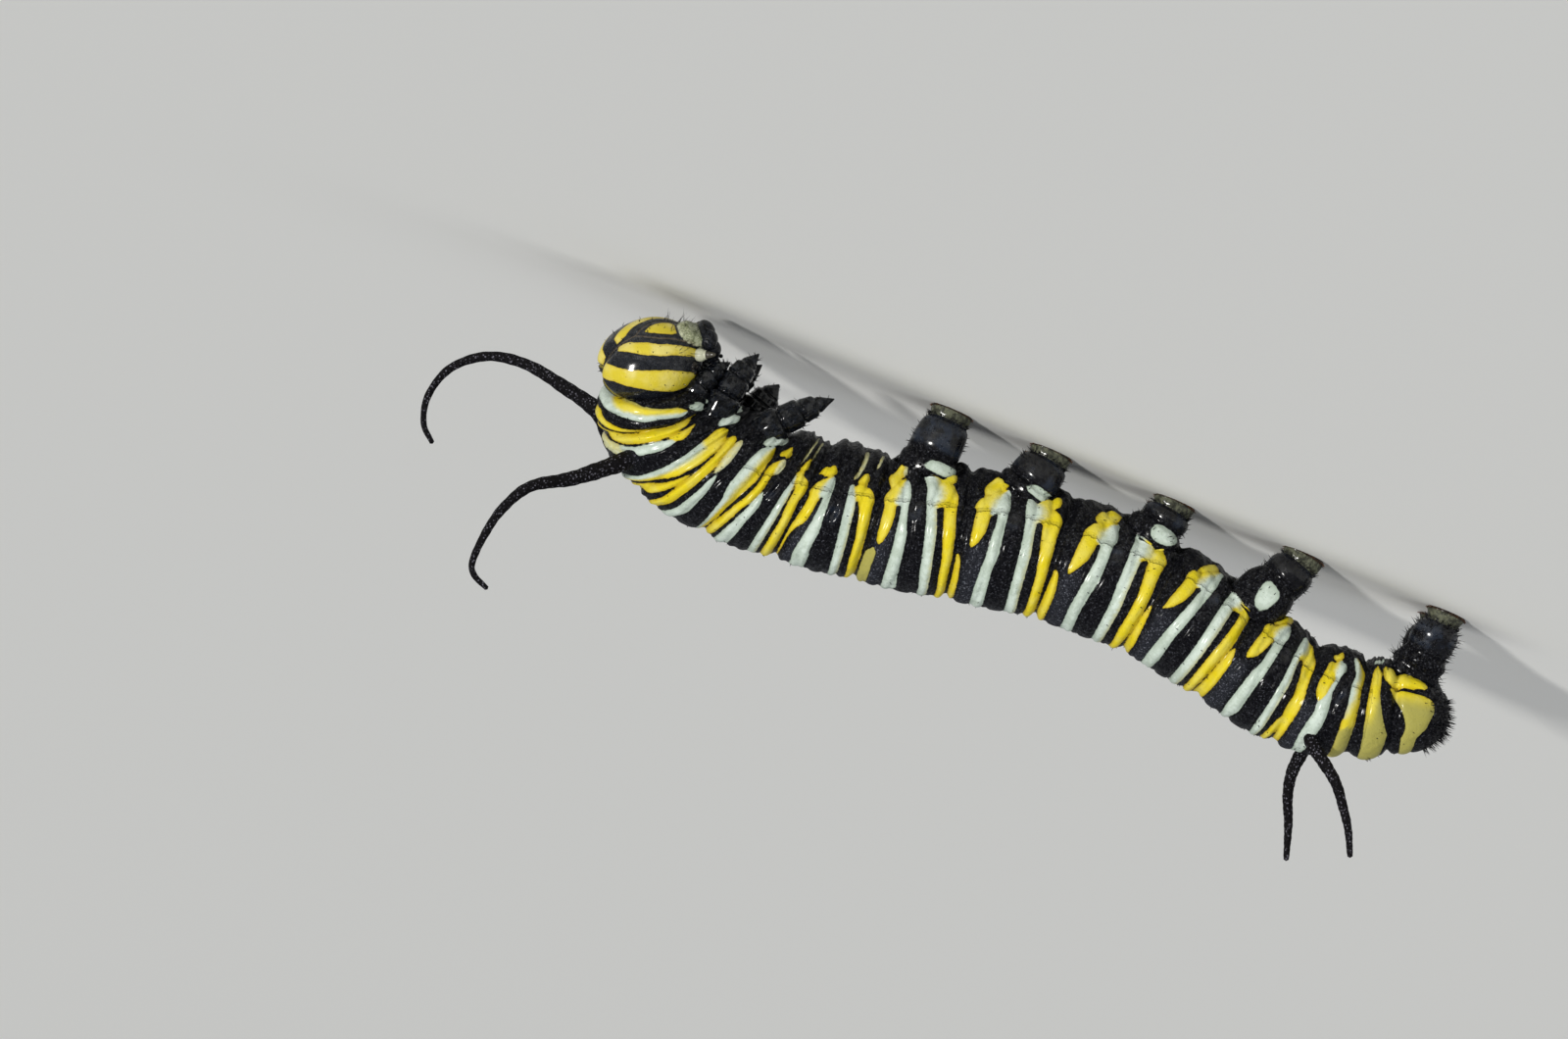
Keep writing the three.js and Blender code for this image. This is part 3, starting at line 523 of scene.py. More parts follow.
# The wall of a proleg: a roll, a groove, a bulging shield, a neck and a flared foot
def prolegWall(far, turn, pair, side):
    size, sole, down = pair["size"], pair["sole"], prolegDown(far)
    root = trunkPoint(pair["at"], side * pair["rootAngle"], -pair["sunk"])
    ankle = np.array([pair["foot"], -side * pair["spread"] * pair["ankleOut"], pair["ankleHigh"]])
    foot = np.array([pair["foot"], -side * pair["spread"], 0.0])
    middle, ahead = bezier(root, ankle, foot, down)
    ahead = unitOf(ahead)
    inner = unitOf(np.array([0.0, side, 0.0]) - ahead * (ahead[:, 1:2] * side))
    rear = np.cross(ahead, inner)
    rear = rear * np.where(rear[:, 0:1] > 0, -1, 1)
    draw = np.minimum(1, down / pair["drawn"])
    inset = np.interp(down, *zip(*pair["profile"]))
    inset += 0.02 * np.sin(turn * 6 + down * 11) * softStep(down, 0.3, 0.2)
    inset += 0.012 * np.sin(turn * 13 + 1) * softStep(down, 0.76, 0.82)
    inset += (0.035 * np.cos(2 * turn + 0.5) * softStep(down, 0.25, 0.35)
              + 0.02 * np.sin(3 * turn + down * 5))
    long = size * (pair["long"] + (pair["soleLong"] - pair["long"]) * draw - inset)
    thick = size * (pair["thick"] + (pair["soleThick"] - pair["thick"]) * draw - inset)
    reach = np.where(far > 1, far, 1) * np.where(far < sole, far / sole, 1)
    wall = middle + rear * (np.cos(turn) * long * reach)[:, None]
    wall += inner * (np.sin(turn) * thick * reach)[:, None]
    hollow = pair["hollow"] * softStep(np.clip(1 - far / sole, 0, 1), 0.3, 0.7)
    wall[:, 2] = np.maximum(wall[:, 2] + hollow, 0)
    return wall


# The marks of a proleg: a pale patch on its roll, a glossy shield and a grey foot
def prolegMarks(far, turn, pair):
    low = prolegDown(far)
    outer = softStep(-np.sin(turn), -0.1, 0.6)
    patch = np.full(far.shape, -0.4)
    if "patch" in pair:
        downAt, tall, rearAt, long, skew, taper = pair["patch"]
        lower = (low - downAt) / tall
        ahead = np.cos(turn) - rearAt - skew * (low - downAt)
        ahead = ahead / (long * np.clip(1 + taper * lower, 0.3, 2))
        patch = 1 - (np.abs(lower) ** 2.8 + np.abs(ahead) ** 2.8) ** 0.36
        patch = np.where(outer > 0.4, np.clip(patch * 0.3, -0.4, 0.3), -0.4)
    top = pair["shield"]
    shield = softStep(low, top, top + 0.06) * (1 - 0.6 * softStep(low, 0.68, 0.76))
    shield = shield * (0.4 + 0.6 * outer)
    sole = 0.6 * softStep(low, 0.735, 0.77) + 0.4 * softStep(low, 0.9, 0.95)
    none = np.zeros(far.shape)
    return {"pale": patch, "tint": none, "velvet": none, "gloss": shield, "sole": sole, "low": low,
            "fold": none + 0.6}


# Mesh helpers: a grid or a ball is made by its operator, then its points are placed
def makeObject(name, shape, placed=False):
    mesh = bpy.data.meshes.new(name)
    shape.to_mesh(mesh)
    shape.free()
    if not placed:
        mesh.transform(Matrix.Translation(Vector(shift * metre)) @ Matrix.Scale(metre, 4))
    mesh.polygons.foreach_set("use_smooth", [True] * len(mesh.polygons))
    piece = bpy.data.objects.new(name, mesh)
    bpy.context.scene.collection.objects.link(piece)
    return piece


def wrappedGrid(columns, rows):
    shape = bmesh.new()
    around, down = shape.verts.layers.float.new("around"), shape.verts.layers.float.new("down")
    bmesh.ops.create_grid(shape, x_segments=columns, y_segments=rows, size=0.5)
    for vert in shape.verts:
        vert[around], vert[down] = vert.co.x + 0.5, vert.co.y + 0.5
    return shape


def readGrid(shape):
    layers = [shape.verts.layers.float[name] for name in ("around", "down")]
    return [np.array([vert[layer] for vert in shape.verts]) for layer in layers]


def placeVerts(verts, points):
    for vert, point in zip(verts, points):
        vert.co = point


def setLevels(verts, layers, levels):
    for name, level in levels.items():
        for vert, value in zip(verts, level):
            vert[layers[name]] = value


def cleanUp(shape, weld):
    bmesh.ops.remove_doubles(shape, verts=shape.verts, dist=weld)
    bmesh.ops.dissolve_degenerate(shape, dist=1e-6, edges=shape.edges)
    bmesh.ops.recalc_face_normals(shape, faces=shape.faces)


def addLevels(piece, **levels):
    for name, values in levels.items():
        layer = piece.data.attributes.new(name, "FLOAT", "POINT")
        layer.data.foreach_set("value", np.asarray(values, np.float32))


def finishPiece(piece, material, slot, *nodes):
    piece.data.materials.append(material)
    if nodes:
        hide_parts(*nodes)
    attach(piece, "root")


# A tube along points, closed by a point at each end, with its half thickness from a function
def makeTube(name, path, thick, sides, rings, endRound=0.02):
    shape = wrappedGrid(sides, rings)
    around, down = readGrid(shape)
    lengths = lengthAlong(path)
    t = np.clip((down - endRound) / (1 - 2 * endRound), 0, 1)
    closing = rounded(np.minimum(down, 1 - down) / endRound)

    def at(share):
        share = np.clip(share, 0, 1) * lengths[-1]
        return np.stack([np.interp(share, lengths, path[:, i]) for i in range(3)], -1)

    ahead = unitOf(at(t + 0.01) - at(t - 0.01))
    radius = thick(t)
    cap = np.where(down < 0.5, -1, 1) * (1 - closing) * radius * 0.6
    side = unitOf(np.array([0.0, 1.0, 0.0]) - ahead * ahead[:, 1:2])
    turn = around * 2 * math.pi
    points = at(t) + ahead * cap[:, None]
    points += side * (np.cos(turn) * radius * closing)[:, None]
    points += np.cross(ahead, side) * (np.sin(turn) * radius * closing)[:, None]
    placeVerts(shape.verts, points)
    cleanUp(shape, 1e-4)
    return makeObject(name, shape)


def smoothPath(points, count):
    p = np.array(points, float)
    p = np.vstack([2 * p[0] - p[1], p, 2 * p[-1] - p[-2]])
    where = np.linspace(0, len(points) - 1, count)
    i = np.minimum(where.astype(int), len(points) - 2)
    t = (where - i)[:, None]
    a, b, c, d = p[i], p[i + 1], p[i + 2], p[i + 3]
    return 0.5 * (2 * b + (c - a) * t + (2 * a - 5 * b + 4 * c - d) * t**2
                  + (3 * b - a - 3 * c + d) * t**3)


# Shader wiring: sums on levels add their Math nodes, and textures and mixes come from node()
class Level:
    def __init__(self, paint, socket):
        self.paint, self.socket = paint, socket

    def sum(self, operation, first, second):
        return self.paint.node("ShaderNodeMath", {"operation": operation}, {0: first, 1: second})

    def __add__(self, other):
        return self.sum("ADD", self, other)

    def __radd__(self, other):
        return self.sum("ADD", other, self)

    def __sub__(self, other):
        return self.sum("SUBTRACT", self, other)

    def __rsub__(self, other):
        return self.sum("SUBTRACT", other, self)

    def __mul__(self, other):
        return self.sum("MULTIPLY", self, other)

    def __rmul__(self, other):
        return self.sum("MULTIPLY", other, self)


class Paint:
    def __init__(self, name, **fixed):
        self.material = bpy.data.materials.new(name)
        self.material.use_nodes = True
        self.tree = self.material.node_tree
        self.tree.nodes.clear()
        self.shader = self.tree.nodes.new("ShaderNodeBsdfPrincipled")
        end = self.tree.nodes.new("ShaderNodeOutputMaterial")
        self.tree.links.new(self.shader.outputs["BSDF"], end.inputs["Surface"])
        for key, value in fixed.items():
            self.shader.inputs[key.replace("_", " ")].default_value = value

    def node(self, kind, settings=None, inputs=None, output=0):
        made = self.tree.nodes.new(kind)
        for key, value in (settings or {}).items():
            setattr(made, key, value)
        for key, value in (inputs or {}).items():
            if isinstance(value, Level):
                self.tree.links.new(value.socket, made.inputs[key])
            else:
                made.inputs[key].default_value = value
        return Level(self, made.outputs[output])

    def feed(self, name, level):
        self.tree.links.new(level.socket, self.shader.inputs[name])

    def millimetres(self):
        place = self.node("ShaderNodeTexCoord", output=3)
        return self.node("ShaderNodeVectorMath", {"operation": "SCALE"}, {0: place, "Scale": 1000})

    def attribute(self, name):
        return self.node("ShaderNodeAttribute", {"attribute_name": name}, output=2)

    def noise(self, place, scale, detail=2.0, rough=0.5, warp=0.0):
        return self.node("ShaderNodeTexNoise", {}, {
            "Vector": place, "Scale": scale, "Detail": detail, "Roughness": rough,
            "Distortion": warp})

    def cells(self, place, scale):
        return self.node("ShaderNodeTexVoronoi", {}, {"Vector": place, "Scale": scale})

    def step(self, level, low, high):
        return self.node("ShaderNodeMapRange", {"interpolation_type": "SMOOTHSTEP"}, {
            "Value": level, "From Min": low, "From Max": high})

    def mix(self, factor, first, second):
        def shade(c):
            return c if isinstance(c, Level) else (*c, 1)
        return self.node("ShaderNodeMix", {"data_type": "RGBA"}, {
            0: factor, 6: shade(first), 7: shade(second)}, 2)

    def bump(self, height, strength=1.0):
        self.feed("Normal", self.node("ShaderNodeBump", {}, {
            "Strength": strength, "Distance": metre, "Height": height}))


skinLook = {
    "yellow": (0.68, 0.55, 0.012), "deepYellowAndShade": (0.44, 0.31, 0.006), "paleYellow": (0.7, 0.62, 0.14),
    "oliveAndShade": (0.36, 0.33, 0.08), "white": (0.57, 0.65, 0.58), "greyWhiteAndShade": (0.33, 0.4, 0.32),
    # shield: blue-black, partly a painted bluish highlight
    "black": (0.003, 0.003, 0.0045), "shield": (0.016, 0.022, 0.036), "velvet": (0.022, 0.024, 0.031),
    "paleSpecksAndGlints": (0.2, 0.21, 0.25), "foot": (0.12, 0.125, 0.085), "footEdge": (0.035, 0.02, 0.01),
    "pore": (0.07, 0.06, 0.03), "rough": 0.36, "wetCoat": 0.4, "bandCoat": 0.3, "shieldCoat": 0.6,
    "grain": 0.03, "wrinkle": 0.22, "rolls": 0.07, "foldShade": 0.22, "bump": 0.9,
}


def skinPaint():
    look = skinLook
    paint = Paint("bandedSkin", Specular_IOR_Level=0.07, Coat_Roughness=0.17)
    place = paint.millimetres()
    wobble = paint.noise(place, 6, 3, 0.6)
    coarse = paint.noise(place, 1.4, 2, 0.5)
    fine = paint.noise(place, 26, 3, 0.65)
    speck = paint.noise(place, 12, 3, 0.75)
    pale = paint.attribute("pale") + (wobble - 0.5) * 0.08
    mask = paint.step(pale, -0.012, 0.018)
    level = paint.attribute("tint")
    tint = level + (wobble - 0.5) * 0.3
    # The pale bands, with tiny dark pores
    richer = paint.step(coarse, 0.35, 0.7)
    gold = paint.mix(richer * 0.5, look["yellow"], look["paleYellow"])
    # Towards their edges the bands are richer and darker: partly their own deeper tone, partly painted
    # shade where they roll into the creases
    gold = paint.mix((1 - paint.step(pale, 0, 0.14)) * 0.85, gold, look["deepYellowAndShade"])
    # Olive for tints above 1.12: partly a dull colour, partly painted shade towards the back
    gold = paint.mix(paint.step(level, 1.12, 1.5), gold, look["oliveAndShade"])
    clouds = paint.step(coarse * 0.6 + wobble * 0.4, 0.4, 0.62)
    ivory = paint.mix(clouds * 0.6, look["white"], look["greyWhiteAndShade"])
    ivory = paint.mix((1 - paint.step(pale, 0, 0.16)) * 0.7, ivory, look["greyWhiteAndShade"])
    band = paint.mix(paint.step(tint, 0.15, 0.8), ivory, gold)
    pores = 1 - paint.step(paint.cells(place, 4.5), 0.06, 0.1)
    stipple = paint.step(speck, 0.62, 0.78) * 0.3
    band = paint.mix(pores * 0.7, band, look["pore"])
    band = paint.mix(stipple, band, look["pore"])
    # The black between them: velvety in front of each white band, with pale specks, partly the skin's
    # grain and partly painted glints
    velvet = paint.attribute("velvet")
    gloss = paint.attribute("gloss")
    dark = paint.mix(velvet * paint.step(fine, 0.25, 0.6), look["black"], look["velvet"])
    paleSpecksAndGlints = paint.step(speck, 0.55, 0.7) * (velvet * 0.6 + 0.35) * (1 - gloss)
    dark = paint.mix(paleSpecksAndGlints, dark, look["paleSpecksAndGlints"])
    # On the shields and round the breathing holes the black turns blue in patches: partly their own
    # blue-black, partly a painted broad bluish highlight
    dark = paint.mix(gloss * paint.step(coarse, 0.42, 0.62) * 0.8, dark, look["shield"])
    colour = paint.mix(mask, dark, band)
    # Along the side fold the colour darkens towards black: a painted shade in the crease
    line = paint.attribute("fold") + (wobble - 0.5) * 0.25 + (coarse - 0.5) * 0.3
    line = 1 - paint.step(line * line, 0.0, 0.007)
    colour = paint.mix(line * look["foldShade"], colour, look["black"])
    # The foot is greenish grey, with a brown edge of hooks
    sole = paint.attribute("sole")
    edge = paint.step(sole + (fine - 0.5) * 0.3, 0.72, 0.9)
    foot = paint.mix(edge, look["foot"], look["footEdge"])
    foot = paint.mix(paint.step(wobble, 0.38, 0.6) * 0.7, foot, look["black"])
    colour = paint.mix(paint.step(sole + (wobble - 0.5) * 0.15, 0.25, 0.4), colour, foot)
    paint.feed("Base Color", colour)
    rough = look["rough"] + mask * 0.06 + velvet * 0.2 - gloss * 0.18
    paint.feed("Roughness", rough + (fine - 0.5) * 0.14)
    wet = paint.step(wobble, 0.42, 0.6) * (1 - velvet * 0.7) * (1 - mask) * look["wetCoat"]
    paint.feed("Coat Weight", wet + mask * look["bandCoat"] + gloss * look["shieldCoat"])
    # Bump: grain and wrinkles are flatter on the pale bands and the shields
    wrinkle = paint.noise(place, 4, 4, 0.62, 1.0)
    rolls = paint.noise(place, 2.0, 3, 0.55)
    grain = paint.cells(place, 12)
    height = (1 - grain) * look["grain"] * (1 - mask) * (1 - gloss * 0.6) + fine * 0.012
    height = height + wrinkle * (look["wrinkle"] - mask * 0.18) * (1 - gloss * 0.6)
    height = height + rolls * look["rolls"] - line * 0.08
    paint.bump(height, look["bump"])
    return paint.material


# Rows of the skin: almost even along the side, closer on short segments, and closing both ends
skinEnds = {"neck": 0.012, "tail": 0.02, "side": 70.0, "rearRows": 0.35, "narrowAt": 12.45,
            "narrowLong": 0.55, "narrowTo": 0.74, "dome": 0.3}
skinMiddle = 1 - skinEnds["neck"] - skinEnds["tail"]
skinSteps = np.linspace(0, 13, 1301)
skinShares = lengthAlong(trunkPoints(skinSteps, np.full(skinSteps.shape, skinEnds["side"])))
skinShares = skinShares / skinShares[-1] + skinSteps / 13 * skinEnds["rearRows"]
skinShares /= skinShares[-1]
skinLevels = ("pale", "tint", "velvet", "gloss", "sole", "fold", "s", "low", "turn", "which")


def alongSkin(down):
    return np.interp(np.clip((down - skinEnds["neck"]) / skinMiddle, 0, 1), skinShares, skinSteps)


def downSkin(s):
    return skinEnds["neck"] + np.interp(s, skinSteps, skinShares) * skinMiddle


# The faces inside each proleg's rim go, and the points left at the hole move out to the rim
def cutRims(shape, layers):
    around, down = readGrid(shape)
    s, angle = alongSkin(down), (around - 0.5) * 360
    rims, gone, every = [], set(), list(shape.verts)
    for pair, side in prolegSides:
        far, turn = prolegPlace(s, angle, pair, side)
        inside = [every[i] for i in np.flatnonzero(far < 1)]
        turns = dict(zip(inside, turn[far < 1]))
        near = dict.fromkeys(face for vert in inside for face in vert.link_faces)
        faces = [face for face in near if all(vert in turns for vert in face.verts)]
        rims.append(list(dict.fromkeys(
            vert for face in faces for vert in face.verts
            if any(other not in turns for beside in vert.link_faces for other in beside.verts))))
        gone.update(faces)
        turn = np.array([turns[vert] for vert in rims[-1]])
        rimS, rimAngle = prolegSkin(np.ones(turn.shape), turn, pair, side)
        setLevels(rims[-1], layers, {
            "around": rimAngle / 360 + 0.5, "down": downSkin(rimS), "turn": turn,
            "which": np.full(turn.shape, len(rims))})
    bmesh.ops.delete(shape, geom=[face for face in shape.faces if face in gone], context="FACES")
    return rims


# The trunk's points with their levels, and the skin near each proleg drawn out to meet its rim
def trunkSkin(shape):
    around, down = readGrid(shape)
    s, angle = alongSkin(down), (around - 0.5) * 360
    tail = np.clip((s - skinEnds["narrowAt"]) / skinEnds["narrowLong"], 0, 1)
    dome = np.clip((down - 1 + skinEnds["tail"]) / skinEnds["tail"], 0, 1)
    reach = np.sqrt(1 - tail**2 * (1 - skinEnds["narrowTo"] ** 2))
    reach = reach * np.sqrt(1 - dome**2) * np.clip(down / skinEnds["neck"], 0, 1)
    levels = {name: np.zeros(s.shape) for name in skinLevels[:-2]}
    levels["pale"], levels["tint"] = paintBands(s, angle)
    levels["s"], levels["low"] = s, levels["low"] - 1
    points = trunkPoints(s, angle, trunkRelief(s, angle, levels["pale"]), reach, -skinEnds["dome"] * dome)
    fold = (np.abs(angle) - np.interp(s, *zip(*foldAngles))) * math.radians(2.4)
    levels["fold"] = np.clip(np.where((s > 2.6) & (s < 11.2), fold, 0.6), -0.6, 0.6)
    velvet = softStep(s % 1, 0.06, 0.14) * softStep(s % 1, 0.34, 0.24)
    levels["velvet"] = velvet * softStep(np.abs(angle), 88, 72) * (s > 3.9) * (s < 10.4)
    for hole in air:
        levels["gloss"] += bell(airDistance(s, np.abs(angle), hole), 1, 4)
    for pair, side in prolegSides:
        far, turn = prolegPlace(s, angle, pair, side)
        chosen = far < 1.5
        far, turn = far[chosen], turn[chosen]
        mix = softStep(far, pair["blend"], 1.0)[:, None]
        outwards = unitOf(points[chosen] - trunkFrame(s[chosen])[0])
        fold = 0.08 * bell(far - 1.2, 0.09) - 0.07 * bell(far - 1.06, 0.05)
        points[chosen] = points[chosen] * (1 - mix) + prolegWall(far, turn, pair, side) * mix
        points[chosen] += outwards * fold[:, None]
        plain = softStep(far, 1.12, 1.02)
        levels["pale"][chosen] = levels["pale"][chosen] * (1 - plain) - 0.4 * plain
        levels["velvet"][chosen] *= 1 - plain
        levels["fold"][chosen] = np.maximum(levels["fold"][chosen], plain)
    return points, levels


# The prolegs are drawn out of their rims ring by ring, and their soles closed
def drawProlegs(shape, layers, rims):
    held = {vert for rim in rims for vert in rim}
    edges = list(dict.fromkeys(
        edge for rim in rims for vert in rim for edge in vert.link_edges
        if edge.is_boundary and edge.other_vert(vert) in held))
    sole, rings = proleg["sole"], proleg["rings"]
    depths = [1 - (1 - sole) * (n + 1) / rings for n in range(rings)]
    for depth in depths + [sole * share for share in (0.85, 0.6, 0.3)]:
        made = bmesh.ops.extrude_edge_only(shape, edges=edges)["geom"]
        edges = [part for part in made if isinstance(part, bmesh.types.BMEdge)]
        ring = [part for part in made if isinstance(part, bmesh.types.BMVert)]
        for n, (pair, side) in enumerate(prolegSides):
            own = [vert for vert in ring if round(vert[layers["which"]]) == n + 1]
            turn = np.array([vert[layers["turn"]] for vert in own])
            far = np.full(turn.shape, depth)
            ringS, ringAngle = prolegSkin(far, turn, pair, side)
            levels = prolegMarks(far, turn, pair)
            levels.update(s=ringS, around=ringAngle / 360 + 0.5, down=downSkin(ringS))
            placeVerts(own, prolegWall(far, turn, pair, side))
            setLevels(own, layers, levels)
    for n in range(len(rims)):
        bmesh.ops.contextual_create(shape, geom=[
            edge for edge in edges if round(edge.verts[0][layers["which"]]) == n + 1])


def makeSkin():
    shape = wrappedGrid(trunk["sides"], trunk["rows"])
    layers = {name: shape.verts.layers.float.new(name) for name in skinLevels}
    for name in ("around", "down"):
        layers[name] = shape.verts.layers.float[name]
    rims = cutRims(shape, layers)
    points, levels = trunkSkin(shape)
    setLevels(shape.verts, layers, levels)
    placeVerts(shape.verts, points)
    drawProlegs(shape, layers, rims)
    cleanUp(shape, 2e-5)
    read = {name: np.array([vert[layer] for vert in shape.verts]) for name, layer in layers.items()}
    print("skin's open edges", sum(edge.is_boundary for edge in shape.edges),
          "and shared ones", sum(len(edge.link_faces) > 2 for edge in shape.edges))
    piece = makeObject("skin", shape)
    for name in ("s", "turn", "low", "which"):
        piece.data.attributes.remove(piece.data.attributes[name])
    nodes = trunkNodes + [f"{pair['name']}_{side}" for pair in prolegs for side in ("right", "left")]
    finishPiece(piece, skinPaint(), "skin", *nodes)
    return piece, read


skin, skinAt = makeSkin()
print("skin made", len(skin.data.polygons))

# Head: places on it are shares of its half sizes to the left, the crown and the front
head = {
    "middle": (3.68, -2.1, 2.7), "front": (0.388, -0.755, -0.529), "crown": (0.807, 0, 0.591),
    "deep": 1.6, "wide": 1.75, "above": 2.15, "below": 2.02, "chin": 0.24, "notch": 0.12,
    "eye": 0.1,
}
headFront = np.array(head["front"]) / np.linalg.norm(head["front"])
headCrown = np.array(head["crown"]) / np.linalg.norm(head["crown"])
headLeft = np.cross(headCrown, headFront)
headTurn = Matrix((Vector(headLeft), Vector(headCrown), Vector(headFront))).transposed()


def headPoints(unit, raised=0.0):
    left, crown, front = unit[..., 0], unit[..., 1], unit[..., 2]
    high = np.where(crown > 0, head["above"], head["below"])
    narrow = 1 - head["chin"] * np.maximum(0, -crown) ** 2
    size = 1 - head["notch"] * np.exp(-((left / 0.18) ** 2)) * np.maximum(0, crown + 0.2)
    return (np.array(head["middle"])
            + headLeft * (left * (head["wide"] * narrow + raised))[..., None]
            + headCrown * (crown * (high + raised) * size)[..., None]
            + headFront * (front * (head["deep"] + raised) * size)[..., None])


def headPoint(left, crown, front, raised=0.0):
    return headPoints(np.array([left, crown, front], float), raised)


# Bands on the head: stations of an angle and of the band's two edges, in degrees
headBands = {
    # Across: angles from the front over the crown, edges from the middle plane to the side
    "innerArch": ("across", (-82, 21, 27), (-74, 22, 34), (-60, 25, 38), (-47, 27.5, 41), (-28, 27, 42),
                  (-11, 25, 42), (6, 18, 37), (15, 12.5, 32), (22, 7, 26), (30, 3.5, 19), (37, 3.5, 12)),
    "frons": ("across", (-34, 0, 9), (-29, 0, 12), (-20, 0, 11.5), (-10, 0, 9), (-3, 0, 5), (1, 0, 1)),
    # Around: angles from the crown down the side, edges from the front to the back
    "outerArch": ("around", (4, 63, 80), (12, 60, 83), (22, 57, 80), (39, 55, 76), (67, 55, 81),
                  (89, 57.5, 91), (104, 63, 101), (118, 74, 108), (130, 88, 112), (141, 102, 114)),
}
headRim = [(0, 83), (15, 86), (34, 103), (60, 117), (86, 128), (115, 126), (130, 122), (180, 118)]
eyes = {"sideways": 0.66, "down": -0.74, "forwards": 0.0, "high": 0.1, "long": 0.13}


def paintHead(unit):
    left, crown, front = np.abs(unit[:, 0]), unit[:, 1], unit[:, 2]
    across = {"angle": np.degrees(np.arctan2(crown, front)),
              "edge": np.degrees(np.arcsin(np.clip(left, 0, 1)))}
    around = {"angle": np.degrees(np.arctan2(left, crown)),
              "edge": np.degrees(np.arccos(np.clip(front, -1, 1)))}
    most = bandLook["most"]
    pale = np.full(left.shape, -most)
    for way, *stations in headBands.values():
        where = across if way == "across" else around
        at = np.array(stations, float)
        inner, outer = (np.interp(where["angle"], at[:, 0], at[:, i]) for i in (1, 2))
        inside = outer - where["edge"]
        if at[0, 1] > 0:
            inside = np.minimum(where["edge"] - inner, inside)
        ends = np.minimum(where["angle"] - at[0, 0], at[-1, 0] - where["angle"])
        pale = np.maximum(pale, np.minimum(inside, ends) * math.radians(1) * 1.75)
    rear = (around["edge"] - np.interp(around["angle"], *zip(*headRim))) * math.radians(1) * 1.6
    wide = np.clip(21 + 0.1 * (across["angle"] + 60), 15, 30)
    plate = (across["edge"] / wide) ** 3 + np.abs((across["angle"] + 63) / 26) ** 3
    plate = 0.75 * (1 - plate ** 0.33)
    pale, plate = np.clip(pale, -most, most), np.clip(plate, -most, most)
    return pale, np.clip(rear, -1, 1), plate, across["angle"]


headLook = {
    "gold": (0.62, 0.5, 0.03), "paleGold": (0.7, 0.6, 0.16), "deepGold": (0.5, 0.36, 0.02),
    "pore": (0.2, 0.1, 0.02), "black": (0.005, 0.006, 0.009), "sheen": (0.018, 0.021, 0.028),
    "rim": (0.2, 0.17, 0.03), "plate": (0.48, 0.5, 0.34), "plateShade": (0.17, 0.19, 0.1),
    "seam": (0.2, 0.15, 0.09), "rough": 0.28, "bump": 0.85,
}


def headPaint():
    look = headLook
    paint = Paint("headShell", Specular_IOR_Level=0.15, Coat_Roughness=0.11)
    place = paint.millimetres()
    wobble = paint.noise(place, 4.5, 3, 0.6)
    fine = paint.noise(place, 20, 3, 0.6)
    pale = paint.attribute("pale") + (wobble - 0.5) * 0.1
    mask = paint.step(pale, -0.012, 0.02)
    gold = paint.mix(paint.step(paint.noise(place, 1.1), 0.4, 0.65), look["gold"], look["paleGold"])
    gold = paint.mix((1 - paint.step(pale, 0, 0.13)) * 0.7, gold, look["deepGold"])
    gold = paint.mix((1 - paint.step(paint.cells(place, 3.5), 0.05, 0.1)) * 0.7, gold, look["pore"])
    dark = paint.mix(paint.step(fine, 0.4, 0.7), look["black"], look["sheen"])
    rear = paint.attribute("rear")
    rim = paint.step(rear, 0, 0.03) * (1 - paint.step(rear, 0.09, 0.14))
    dark = paint.mix(rim, dark, look["rim"])
    colour = paint.mix(mask, dark, gold)
    plate = paint.attribute("plate") + (wobble - 0.5) * 0.12
    clouds = paint.step(wobble * 0.6 + fine * 0.4, 0.38, 0.6)
    mottled = paint.mix(clouds, look["plateShade"], look["plate"])
    colour = paint.mix(paint.step(plate, 0, 0.05), colour, mottled)
    colour = paint.mix(paint.attribute("seam") * 0.4, colour, look["seam"])
    wet = paint.step(wobble, 0.4, 0.6)
    paint.feed("Coat Weight", 0.3 + wet * (1 - mask) * 0.6 + mask * 0.2)
    paint.feed("Base Color", colour)
    paint.feed("Roughness", look["rough"] + (fine - 0.5) * 0.16 + mask * 0.06)
    pits = paint.step(paint.cells(place, 9), 0.05, 0.3)
    rough = paint.noise(place, 5, 4, 0.65, 0.6) * (0.2 - mask * 0.15)
    paint.bump(fine * 0.012 + pits * 0.01 + rough, look["bump"])
    return paint.material


# Angles where the seam's fork lies and how far each arm is from the middle, in degrees
headFork = [(-62, 20), (-35, 18.5), (-12, 16), (0, 10.5), (13, 0)]


def makeHead():
    shape = bmesh.new()
    bmesh.ops.create_uvsphere(shape, u_segments=200, v_segments=140, radius=1)
    unit = np.array([v.co for v in shape.verts])
    unit = unitOf(unit[:, [1, 0, 2]] * np.array([1.0, 1.0, -1.0]))
    pale, rear, plate, angle = paintHead(unit)
    left = np.degrees(np.arcsin(np.clip(unit[:, 0], -1, 1)))
    # The seam runs down the middle of the crown and parts round the triangle of the face
    fork = np.interp(angle, *zip(*headFork))
    seam = np.where(angle > headFork[-1][0], np.abs(left), np.abs(np.abs(left) - fork))
    above = softStep(angle, -66, -60)
    raised = 0.02 / (1 + np.exp(-pale / 0.05)) - 0.035 * softStep(seam, 4, 0) * above
    raised -= 0.1 * bell(rear, 0.08)
    raised += (0.3 + 0.08 * softStep(angle, -50, -75)) * softStep(plate, -0.05, 0.25)
    raised -= 0.03 * bell(plate, 0.05)
    placeVerts(shape.verts, headPoints(unit, raised))
    bmesh.ops.recalc_face_normals(shape, faces=shape.faces)
    piece = makeObject("headCapsule", shape)
    addLevels(piece, pale=pale, rear=rear, seam=softStep(seam, 1.8, 0.3) * above, plate=plate)
    finishPiece(piece, headPaint(), "head_shell", "head")
    return piece, unit


headPiece, headUnit = makeHead()

